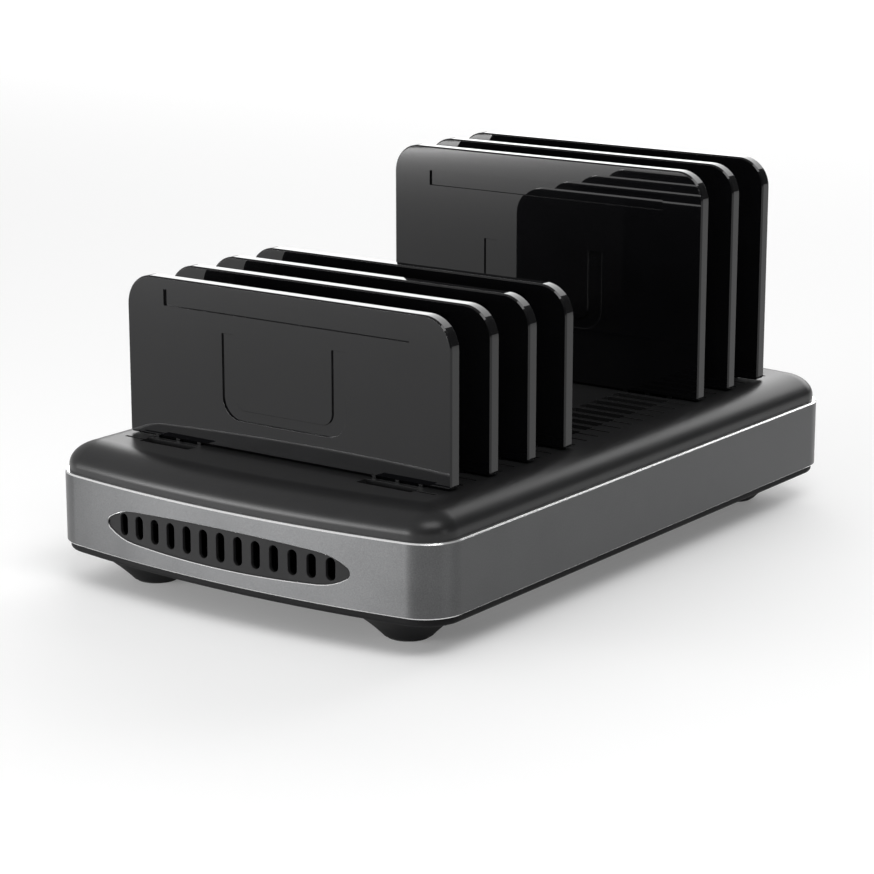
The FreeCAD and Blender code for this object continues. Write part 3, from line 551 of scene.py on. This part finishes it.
def spread(tree, value, low, high):
    """Maps the usual reach of a noise value to low..high."""
    return remap(tree, value, NOISE_LOW, NOISE_HIGH, low, high)


def lean_mask(tree):
    """0 on upright walls, 1 on faces that lean: the machined edges of an upright piece."""
    split = tree.nodes.new("ShaderNodeSeparateXYZ")
    normal = tree.nodes.new("ShaderNodeNewGeometry").outputs["Normal"]
    feed(tree, normal, split.inputs["Vector"])
    return remap(tree, arithmetic(tree, "ABSOLUTE", split.outputs["Z"]), LEAN_START, LEAN_FULL)


def polish_edges(made, colour, roughness):
    """Brightens and smooths the leaning edges of a finish."""
    tree = made.node_tree
    shader = tree.nodes["Principled BSDF"]
    mask = lean_mask(tree)
    ends = (("Base Color", "RGBA", (*colour, 1)), ("Roughness", "FLOAT", roughness))
    for name, kind, polished in ends:
        port = shader.inputs[name]
        plain = port.links[0].from_socket
        feed(tree, mix(tree, kind, mask, plain, polished), port)


def brush(tree, shader, amount):
    """Stretches the highlights along brush marks that run round the upright axis."""
    around = tree.nodes.new("ShaderNodeTangent")
    around.direction_type = "RADIAL"
    around.axis = "Z"
    feed(tree, amount, shader.inputs["Anisotropic"])
    feed(tree, BRUSH_TURN, shader.inputs["Anisotropic Rotation"])
    feed(tree, around.outputs["Tangent"], shader.inputs["Tangent"])


def finish(name, colour, roughness, metallic=0.0, vary=0.12, mottle=60, grain=1500, bump=0.1,
           height=2e-5, rough_vary=0.05, stretch=(1, 1, 1), specular=0.5, brushed=0.0):
    """Procedural finish: colour that drifts and specks, roughness that drifts, and a fine grain."""
    made = bpy.data.materials.new(name)
    made.use_nodes = True
    tree = made.node_tree
    shader = tree.nodes["Principled BSDF"]
    coords = tree.nodes.new("ShaderNodeTexCoord").outputs["Object"]
    specks = noise(tree, coords, grain, SPECK_DETAIL, stretch)
    drift = noise(tree, coords, mottle, DRIFT_DETAIL, stretch)
    drift_part = arithmetic(tree, "MULTIPLY", drift, DRIFT_SHARE)
    mean = arithmetic(tree, "MULTIPLY_ADD", specks, SPECK_SHARE, drift_part)
    darker = (*[c * (1 - vary) for c in colour], 1)
    lighter = (*[min(1, c * (1 + vary)) for c in colour], 1)
    shade = mix(tree, "RGBA", spread(tree, mean, 0, 1), darker, lighter)
    rough = spread(tree, drift, roughness - rough_vary, roughness + rough_vary)
    relief = tree.nodes.new("ShaderNodeBump")
    feed(tree, bump, relief.inputs["Strength"])
    feed(tree, height, relief.inputs["Distance"])
    feed(tree, specks, relief.inputs["Height"])
    feed(tree, shade, shader.inputs["Base Color"])
    feed(tree, rough, shader.inputs["Roughness"])
    feed(tree, relief.outputs["Normal"], shader.inputs["Normal"])
    feed(tree, metallic, shader.inputs["Metallic"])
    feed(tree, specular, shader.inputs["Specular IOR Level"])
    if brushed:
        brush(tree, shader, brushed)
    return made


# Finishes of the outside
BAND_GREY = finish("band_grey", (0.112, 0.113, 0.115), 0.45, metallic=0.9, vary=0.24, mottle=40,
                   grain=2600, bump=0.3, height=3e-5, brushed=0.6)
polish_edges(BAND_GREY, (0.98, 0.98, 0.98), 0.13)
SATIN_BLACK = finish("satin_black", (0.014, 0.014, 0.0145), 0.34, vary=0.2, grain=1800, bump=0.12,
                     rough_vary=0.015, specular=0.30)
GLOSS_BLACK = finish("gloss_black", (0.0035, 0.0035, 0.004), 0.018, vary=0.2, mottle=25, grain=60,
                     bump=0.02, height=1e-6, rough_vary=0.006, specular=0.345)
PAN_BLACK = finish("pan_black", (0.0045, 0.0045, 0.005), 0.65, vary=0.2, grain=1400, bump=0.2,
                   height=4e-5, specular=0.16)
GRILLE_GREY = finish("grille_grey", (0.011, 0.011, 0.0115), 0.6, vary=0.15, grain=1800, bump=0.15,
                     specular=0.2)
SWITCH_BLACK = finish("switch_black", (0.012, 0.012, 0.013), 0.28, vary=0.2, grain=1500, bump=0.08)
FOOT_RUBBER = finish("foot_rubber", (0.016, 0.016, 0.016), 0.8, vary=0.3, grain=900, bump=0.4,
                     height=6e-5)
SOCKET_STEEL = finish("socket_steel", (0.62, 0.62, 0.63), 0.22, metallic=1.0, vary=0.08, grain=1200,
                      bump=0.08, stretch=(8, 1, 1))
TONGUE_BLACK = finish("tongue_black", (0.022, 0.022, 0.023), 0.42, vary=0.2, grain=1500)
CONTACT_GOLD = finish("contact_gold", (0.80, 0.56, 0.22), 0.25, metallic=1.0, vary=0.08, grain=1500)
PIN_METAL = finish("pin_metal", (0.72, 0.70, 0.66), 0.2, metallic=1.0, vary=0.06, grain=1500, bump=0.05)
MARK_WHITE = finish("mark_white", (0.78, 0.78, 0.77), 0.5, vary=0.05, grain=2000)

# Finishes of the inside
BOARD_GREEN = finish("board_green", (0.015, 0.10, 0.045), 0.35, vary=0.35, mottle=250, grain=900)
FERRITE = finish("ferrite", (0.05, 0.05, 0.052), 0.6, vary=0.25, grain=1200, bump=0.3)
WINDING_TAPE = finish("winding_tape", (0.62, 0.42, 0.06), 0.32, vary=0.15, grain=700, stretch=(1, 1, 6))
SLEEVE_BLACK = finish("sleeve_black", (0.02, 0.02, 0.026), 0.25, vary=0.2, grain=500)
SINK_METAL = finish("sink_aluminium", (0.62, 0.62, 0.63), 0.38, metallic=1.0, vary=0.1, grain=1400,
                    stretch=(1, 1, 12))
CAPACITOR_BOX = finish("capacitor_box", (0.55, 0.40, 0.06), 0.35, vary=0.12, grain=900)
WIRE_SLEEVE = finish("wire_sleeve", (0.16, 0.045, 0.02), 0.35, vary=0.12, grain=1200)
SCREW_STEEL = finish("screw_steel", (0.5, 0.5, 0.5), 0.3, metallic=1.0, vary=0.1, grain=1500)

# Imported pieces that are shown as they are, by the start of their names
PACKED_FINISHES = {
    "bottom_pan": PAN_BLACK,
    "port_panel": PAN_BLACK,
    "inlet_housing": PAN_BLACK,
    "inlet_pins": PIN_METAL,
    "switch_housing": PAN_BLACK,
    "switch_rocker": SWITCH_BLACK,
    "rubber_foot": FOOT_RUBBER,
    "usb_shell": SOCKET_STEEL,
    "usb_tongue": TONGUE_BLACK,
    "main_board": BOARD_GREEN,
    "transformer_core": FERRITE,
    "transformer_winding": WINDING_TAPE,
    "bulk_capacitor": SLEEVE_BLACK,
    "output_capacitors": SLEEVE_BLACK,
    "heat_sink": SINK_METAL,
    "line_choke": FERRITE,
    "safety_capacitor": CAPACITOR_BOX,
    "mains_fuse": CAPACITOR_BOX,
    "mains_wires": WIRE_SLEEVE,
    "case_screws": SCREW_STEEL,
    "board_screws": SCREW_STEEL,
}


def gap_of_wall(steps):
    """Number of the longest run between neighbouring steps: the plain wall of a section."""
    return max(range(len(steps) - 1), key=lambda i: abs(steps[i + 1][1] - steps[i][1]))


def pierced(skin, upper, lower, panes):
    """Joins two plan rings by quads, with a sheet round the hole ring in each pane.

    A pane is (test, hole, flat): which points it spans, its hole ring and its two coordinates.
    """
    taken = set()
    count = len(upper)
    for test, hole, flat in panes:
        inside = [test(skin.points[index]) for index in upper]
        mine = [i for i in range(count) if inside[i] and inside[(i + 1) % count]]
        taken.update(mine)
        corners = mine + [(mine[-1] + 1) % count]
        outer = [upper[i] for i in corners] + [lower[i] for i in reversed(corners)]
        skin.sheet(outer, [hole], flat)
    skin.bridge(upper, lower, taken)


def in_end(end):
    """Test for points of a bowed end that lie about its vent."""
    reach = VENT_LENGTH / 2 + VENT_PANE_MARGIN
    return lambda point: abs(point.x) < reach and point.y * end > 0


def in_window_side(point):
    """Test for points of the straight wall on the connector side."""
    return point.x < SIDE_X + WALL_REACH and abs(point.y) < BASE_LENGTH / 2 - PLAN_CORNER


def make_side_band():
    """Metal band: chamfered ring with a lens cut in each end and a window for the port panel."""
    skin = Skin()
    place = place_level(BAND_HIGH.z)
    steps = profile(
        (-BAND_WALL, 0, 0),
        (-BAND_CHAMFER, 0, BAND_ROUND),
        (0, BAND_CHAMFER, BAND_ROUND),
        (0, BAND_HEIGHT - BAND_LOW_CHAMFER, BAND_ROUND),
        (-BAND_LOW_CHAMFER, BAND_HEIGHT, BAND_ROUND),
        (-BAND_WALL, BAND_HEIGHT, 0),
    )
    wall = gap_of_wall(steps)
    outer = shell(skin, PLAN, steps, place, skip=(wall,))
    back = [(-BAND_WALL, 0, -QUARTER), (-BAND_WALL, BAND_HEIGHT, -QUARTER)]
    inner = lathe(skin, PLAN, back, place)
    rim = profile(
        (0, BAND_WALL, 0),
        (0, VENT_CHAMFER, VENT_CHAMFER_ROUND),
        (VENT_CHAMFER, 0, VENT_CHAMFER_ROUND),
        (2 * VENT_CHAMFER, 0, 0),
    )
    window = rounded_rect(WINDOW_LENGTH, WINDOW_HEIGHT, WINDOW_CORNER)
    cuts = [
        (in_end(-1), shell(skin, LENS, rim, place_bow(-1)), from_front),
        (in_end(1), shell(skin, LENS, rim, place_bow(1)), from_front),
        (in_window_side, shell(skin, window, rim, place_side(SIDE_X)), from_side),
    ]
    pierced(skin, outer[wall], outer[wall + 1], [(test, hole[-1], flat) for test, hole, flat in cuts])
    pierced(skin, inner[0], inner[1], [(test, hole[0], flat) for test, hole, flat in cuts])
    skin.build("band", "base", BAND_GREY, ["side_band"])


def keyhole(row, side):
    """Loop of a divider slot with its thin guide groove running on outwards, and the slot's own loop."""
    v = (row - (ROW_COUNT - 1) / 2) * ROW_PITCH
    half = GROOVE_WIDTH / 2
    tip = half / 2
    groove_end = GROOVE_REACH - SLOT_X - tip
    neck = SLOT_LENGTH / 2 + GROOVE_CORNER
    slot = rounded_rect(SLOT_LENGTH, SLOT_WIDTH, SLOT_CORNER)
    hole = [
        (groove_end, half - tip, tip, 0, QUARTER),
        (neck, half + GROOVE_CORNER, GROOVE_CORNER, 3 * QUARTER, -QUARTER),
        *slot,
        (neck, -half - GROOVE_CORNER, GROOVE_CORNER, 2 * QUARTER, -QUARTER),
        (groove_end, tip - half, tip, 3 * QUARTER, QUARTER),
    ]
    turn = 0 if side > 0 else math.pi
    return [[(side * (SLOT_X + along), v + side * across, radius, start + turn, sweep)
             for along, across, radius, start, sweep in loop] for loop in (hole, slot)]


def cut_slot(skin, row, side, place):
    """Walls and floors of one keyhole slot; gives its rim on the deck."""
    hole, slot = keyhole(row, side)
    rim_steps = profile((0, GROOVE_DEPTH, 0), (0, 0, SLOT_ROUND), (2 * SLOT_ROUND, 0, 0))
    rim = shell(skin, hole, rim_steps, place)
    pocket_steps = profile(
        (-SLOT_ROUND, SLOT_DEPTH, 0),
        (-SLOT_LEDGE, SLOT_DEPTH, 0),
        (-SLOT_LEDGE, GROOVE_DEPTH, 0),
    )
    pocket = shell(skin, slot, pocket_steps, place)
    floor = lathe(skin, hole, [(0, GROOVE_DEPTH, 0)], place)[0]
    ledge = lathe(skin, slot, [(-SLOT_LEDGE, GROOVE_DEPTH, 0)], place)[0]
    skin.sheet(floor, [ledge], from_above)
    skin.sheet(pocket[0], [], from_above)
    return rim[-1]


def cover_section():
    """Steps from the deck's edge over the rolled shoulder, down the wall and round the inner lip."""
    width = PLAN_CORNER - COVER_INSET - SHOULDER_CORNER
    wall_depth = DECK_Z - BAND_HIGH.z
    rise = wall_depth - COVER_WALL_RISE
    lip = -SHELL_INSET - SHELL_WALL
    steps = []
    for i in range(SHOULDER_STEPS + 1):
        angle = QUARTER * i / SHOULDER_STEPS
        tilt = math.atan2(math.sin(angle) / width, math.cos(angle) / rise)
        steps.append((width * (math.sin(angle) - 1) - COVER_INSET, rise * (1 - math.cos(angle)), tilt))
    steps += profile(
        (-COVER_INSET, rise, 0),
        (-COVER_INSET, wall_depth, COVER_ROUND),
        (-SHELL_INSET, wall_depth, 0),
        (-SHELL_INSET, LIP_DEPTH, COVER_ROUND),
        (lip, LIP_DEPTH, COVER_ROUND),
        (lip, CEILING_DEPTH, 0),
        (lip - SHELL_WALL, CEILING_DEPTH, 0),
    )
    return steps


def make_top_cover():
    """Cover: rolled shoulder round a flat deck with two files of keyhole slots."""
    skin = Skin()
    place = place_level(DECK_Z)
    rings = shell(skin, PLAN, cover_section(), place)
    rims = []
    for row in range(ROW_COUNT):
        for side in (-1, 1):
            rims.append(cut_slot(skin, row, side, place))
    skin.sheet(rings[0], rims, from_above)
    skin.sheet(rings[-1], [], from_above)
    skin.build("cover", "base", SATIN_BLACK, ["top_cover"])


def grip_loop(sole):
    """Loop of the U-shaped grip relief that stands on height sole."""
    half = GRIP_WIDTH / 2
    inner = half - GRIP_LEG
    inner_radius = GRIP_RADIUS - GRIP_SOLE
    tip_v = sole + GRIP_HEIGHT - GRIP_TIP
    bend_u = half - GRIP_RADIUS
    bend_v = sole + GRIP_RADIUS
    well_u = inner - inner_radius
    well_v = sole + GRIP_SOLE + inner_radius
    return [
        (half - GRIP_TIP, tip_v, GRIP_TIP, 0, QUARTER),
        (inner + GRIP_TIP, tip_v, GRIP_TIP, QUARTER, QUARTER),
        (well_u, well_v, inner_radius, 0, -QUARTER),
        (-well_u, well_v, inner_radius, -QUARTER, -QUARTER),
        (-inner - GRIP_TIP, tip_v, GRIP_TIP, 0, QUARTER),
        (-half + GRIP_TIP, tip_v, GRIP_TIP, QUARTER, QUARTER),
        (-bend_u, bend_v, GRIP_RADIUS, 2 * QUARTER, QUARTER),
        (bend_u, bend_v, GRIP_RADIUS, 3 * QUARTER, QUARTER),
    ]


def divider_outline(half, bottom, top):
    """Loop of a divider's panel: large upper corners and small lower ones."""
    foot = DIVIDER_FOOT_CORNER
    head = DIVIDER_CORNER
    return [
        (half - head, top - head, head, 0, QUARTER),
        (head - half, top - head, head, QUARTER, QUARTER),
        (foot - half, bottom + foot, foot, 2 * QUARTER, QUARTER),
        (half - foot, bottom + foot, foot, 3 * QUARTER, QUARTER),
    ]


def sink_relief(skin, loop, depth, edge_round, place):
    """Sunk area with a flat floor; gives its rim on the face."""
    steps = profile(
        (-RELIEF_RUN, depth, 0),
        (0, depth, RELIEF_ROUND),
        (0, 0, edge_round),
        (2 * edge_round, 0, 0),
    )
    rings = shell(skin, loop, steps, place)
    skin.sheet(rings[0], [], from_front)
    return rings[-1]


def add_tabs(skin, y, low, height):
    """Two tabs with three ribs each, standing on height low under a divider at y."""
    steps = profile(
        (-TAB_SOLE_RUN, 0, 0),
        (0, 0, TAB_SOLE_ROUND),
        (0, height, 0),
        (-TAB_SOLE_RUN, height, 0),
    )
    for side in (-1, 1):
        loops = [rounded_rect(TAB_LENGTH, TAB_THICKNESS, TAB_CORNER, side * SLOT_X, y)]
        for k in (-1, 0, 1):
            x = side * SLOT_X + k * TAB_RIB_PITCH
            loops.append(rounded_rect(TAB_RIB_WIDTH, TAB_RIB_THICKNESS, TAB_RIB_CORNER, x, y))
        for loop in loops:
            stud(skin, loop, steps, place_level(low, -1), from_above)


def make_divider(node, label_drop, grip_lift):
    """Divider: polished panel with chamfered edges, label and grip reliefs, and two ribbed tabs."""
    skin = Skin()
    low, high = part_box(node)
    bottom = DECK_Z + DIVIDER_GAP
    thickness = high.y - low.y
    place = place_upright(low.y)
    edge = DIVIDER_CHAMFER
    steps = profile(
        (-2 * edge, 0, 0),
        (-edge, 0, DIVIDER_ROUND),
        (0, edge, DIVIDER_ROUND),
        (0, thickness - edge, DIVIDER_ROUND),
        (-edge, thickness, DIVIDER_ROUND),
        (-2 * edge, thickness, 0),
    )
    rings = shell(skin, divider_outline(high.x, bottom, high.z), steps, place)
    label_v = high.z - label_drop - LABEL_HEIGHT / 2
    label = rounded_rect(LABEL_WIDTH, LABEL_HEIGHT, LABEL_CORNER, 0, label_v)
    grip = grip_loop(bottom + grip_lift)
    label_rim = sink_relief(skin, label, LABEL_DEPTH, LABEL_EDGE, place)
    grip_rim = sink_relief(skin, grip, GRIP_DEPTH, GRIP_EDGE, place)
    skin.sheet(rings[0], [label_rim, grip_rim], from_front)
    skin.sheet(rings[-1], [], from_front)
    add_tabs(skin, (low.y + high.y) / 2, low.z, bottom + DIVIDER_GAP - low.z)
    skin.build(node + "_panel", node, GLOSS_BLACK, [node])


def make_vent(end, node):
    """Vent insert: curved lens with a row of upright slots."""
    skin = Skin()
    place = place_bow(end, VENT_RECESS)
    rim = -VENT_FIT
    inner = rim - VENT_EDGE_RUN
    plate_steps = profile(
        (inner, 0, 0),
        (rim, 0, VENT_EDGE),
        (rim, VENT_THICKNESS, VENT_EDGE),
        (inner, VENT_THICKNESS, 0),
    )
    slot_steps = profile(
        (0, VENT_THICKNESS, 0),
        (0, VENT_SLOT_CHAMFER, 0),
        (VENT_SLOT_CHAMFER, 0, 0),
        (VENT_SLOT_RUN, 0, 0),
    )
    plate = shell(skin, LENS, plate_steps, place)
    slots = []
    for k in range(VENT_SLOTS):
        offset = k - (VENT_SLOTS - 1) / 2
        share = abs(2 * offset / (VENT_SLOTS - 1)) ** VENT_SLOT_TAPER
        height = VENT_SLOT_MIDDLE + (VENT_SLOT_END - VENT_SLOT_MIDDLE) * share
        x = offset * VENT_PITCH
        loop = rounded_rect(VENT_SLOT_WIDTH, height, VENT_SLOT_WIDTH / 2, x, VENT_SLOT_LIFT)
        slots.append(shell(skin, loop, slot_steps, place))
    skin.sheet(plate[0], [slot[-1] for slot in slots], from_front)
    skin.sheet(plate[-1], [slot[0] for slot in slots], from_front)
    skin.build(node + "_insert", "base", GRILLE_GREY, [node])


def make_contacts():
    """Gold contact strips under the tongue of each charging socket."""
    skin = Skin()
    place = place_level(CONTACT_TOP - CONTACT_RISE, -1)
    steps = profile(
        (-CONTACT_EDGE, 0, 0),
        (0, 0, CONTACT_EDGE),
        (0, CONTACT_RISE, 0),
        (-CONTACT_EDGE, CONTACT_RISE, 0),
    )
    for number in range(1, SOCKET_COUNT + 1):
        low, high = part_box("usb_tongue_%02d" % number)
        x = low.x + CONTACT_SETBACK + CONTACT_LENGTH / 2
        y = (low.y + high.y) / 2
        for reach in CONTACT_REACHES:
            loop = rounded_rect(CONTACT_LENGTH, CONTACT_WIDTH, 2 * CONTACT_EDGE, x, y + reach)
            stud(skin, loop, steps, place, from_above)
    skin.build("socket_contacts", "base", CONTACT_GOLD)


def make_switch_marks():
    """On and off marks on the two halves of the rocker."""
    skin = Skin()
    edge = MARK_EDGE
    solid = profile((-edge, -MARK_RISE, 0), (0, -MARK_RISE, edge), (0, 0, 0), (-edge, 0, 0))
    hollow = profile((edge, 0, 0), (0, 0, 0), (0, -MARK_RISE, edge), (edge, -MARK_RISE, 0))
    bar = rounded_rect(MARK_LINE, MARK_HEIGHT, MARK_LINE / 4, MARK_REACH)
    stud(skin, bar, solid, place_rocker, from_side)
    ring = shell(skin, circle(MARK_HEIGHT / 2, -MARK_REACH), solid, place_rocker)
    eye = shell(skin, circle(MARK_HEIGHT / 2 - MARK_LINE, -MARK_REACH), hollow, place_rocker)
    skin.sheet(ring[0], [eye[-1]], from_side)
    skin.sheet(ring[-1], [eye[0]], from_side)
    skin.build("switch_marks", "switch_rocker", MARK_WHITE)


def paint_packed():
    """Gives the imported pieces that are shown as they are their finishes."""
    for node, piece in frame["nodes"].items():
        for start, material in PACKED_FINISHES.items():
            if node.startswith(start):
                piece.data.materials[0] = material


def soften(node):
    """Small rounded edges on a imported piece."""
    piece = frame["nodes"][node]
    join = piece.modifiers.new("join", "DECIMATE")
    join.decimate_type = "DISSOLVE"
    join.angle_limit = SOFT_FLAT
    bevel = piece.modifiers.new("edges", "BEVEL")
    bevel.width = SOFT_WIDTH
    bevel.segments = SOFT_SEGMENTS
    bevel.limit_method = "ANGLE"
    bevel.angle_limit = SOFT_SHARP
    bevel.harden_normals = True


def make_camera():
    """Camera that looks from where the photograph was taken."""
    data = bpy.data.cameras.new("camera")
    data.lens = CAMERA_LENS
    data.sensor_width = CAMERA_SENSOR
    camera = bpy.data.objects.new("camera", data)
    camera.location = CAMERA_PLACE
    tilt = math.radians(90 - CAMERA_ELEVATION)
    camera.rotation_euler = Euler((tilt, 0, math.radians(CAMERA_AZIMUTH)))
    bpy.context.scene.collection.objects.link(camera)
    bpy.context.scene.camera = camera


def floor_white():
    """Plain diffuse white, lifted to full white where it is looked at, directly or mirrored."""
    material = bpy.data.materials.new("floor_white")
    material.use_nodes = True
    tree = material.node_tree
    inputs = tree.nodes["Principled BSDF"].inputs
    path = tree.nodes.new("ShaderNodeLightPath").outputs
    mirrored = arithmetic(tree, "ADD", path["Is Camera Ray"], path["Is Glossy Ray"])
    seen = arithmetic(tree, "ADD", mirrored, path["Is Transmission Ray"])
    feed(tree, (FLOOR_WHITE, FLOOR_WHITE, FLOOR_WHITE, 1), inputs["Base Color"])
    feed(tree, 1.0, inputs["Roughness"])
    feed(tree, 0.0, inputs["Specular IOR Level"])
    feed(tree, (FLOOR_LIFT, FLOOR_LIFT, FLOOR_LIFT, 1), inputs["Emission Color"])
    feed(tree, seen, inputs["Emission Strength"])
    return material


def make_floor():
    """Level square under the object."""
    reach = FLOOR_REACH
    corners = [(-reach, -reach, 0), (reach, -reach, 0), (reach, reach, 0), (-reach, reach, 0)]
    mesh = bpy.data.meshes.new("floor")
    mesh.from_pydata(corners, [], [(0, 1, 2, 3)])
    mesh.materials.append(floor_white())
    floor = bpy.data.objects.new("floor", mesh)
    bpy.context.scene.collection.objects.link(floor)


def make_sky():
    """Surround that is brighter on the left of the photograph than on the right."""
    world = bpy.data.worlds.new("studio")
    bpy.context.scene.world = world
    world.use_nodes = True
    tree = world.node_tree
    inputs = tree.nodes["Background"].inputs
    coords = tree.nodes.new("ShaderNodeTexCoord").outputs["Generated"]
    along = tree.nodes.new("ShaderNodeVectorMath")
    along.operation = "DOT_PRODUCT"
    feed(tree, coords, along.inputs[0])
    feed(tree, SKY_BRIGHT_SIDE, along.inputs[1])
    level = remap(tree, along.outputs["Value"], SKY_EDGE, 1.0, SKY_LOW, SKY_HIGH)
    feed(tree, level, inputs["Strength"])
    feed(tree, (1, 1, 1, 1), inputs["Color"])


def make_softbox(name, azimuth, elevation, distance, size, glow):
    """Rectangular lamp that looks at the object from an azimuth and elevation; glow is its brightness."""
    lamp = bpy.data.lights.new(name, "AREA")
    lamp.shape = "RECTANGLE"
    lamp.size, lamp.size_y = size
    lamp.energy = glow * math.pi * size[0] * size[1]
    turn = math.radians(azimuth)
    lift = math.radians(elevation)
    level = math.cos(lift)
    away = Vector((math.cos(turn) * level, math.sin(turn) * level, math.sin(lift)))
    holder = bpy.data.objects.new(name, lamp)
    holder.location = away * distance + LAMP_TARGET
    holder.rotation_euler = (-away).to_track_quat("-Z", "Y").to_euler()
    holder.visible_camera = False
    bpy.context.scene.collection.objects.link(holder)


# The part
make_side_band()
make_top_cover()
for number in range(1, SHORT_COUNT + 1):
    make_divider("divider_short_%d" % number, **SHORT_RELIEF)
for number in range(1, TALL_COUNT + 1):
    make_divider("divider_tall_%d" % number, **TALL_RELIEF)
make_vent(-1, "vent_grille_front")
make_vent(1, "vent_grille_rear")
make_contacts()
make_switch_marks()
paint_packed()
for node in SOFT_NODES:
    soften(node)

# The studio
make_camera()
make_floor()
make_sky()
make_softbox("overhead", azimuth=-32, elevation=53, distance=1.5, size=(1.0, 0.62), glow=4.8)
make_softbox("front", azimuth=-118, elevation=6.5, distance=0.9, size=(0.72, 0.2), glow=6.2)
make_softbox("front_low", azimuth=-118, elevation=-1.6, distance=0.9, size=(0.72, 0.042), glow=36)
make_softbox("back", azimuth=108, elevation=26, distance=3.2, size=(3.7, 2.2), glow=2.7)
make_softbox("right", azimuth=-5, elevation=8, distance=1.1, size=(0.15, 0.3), glow=4)
bpy.context.scene.view_settings.view_transform = "Standard"
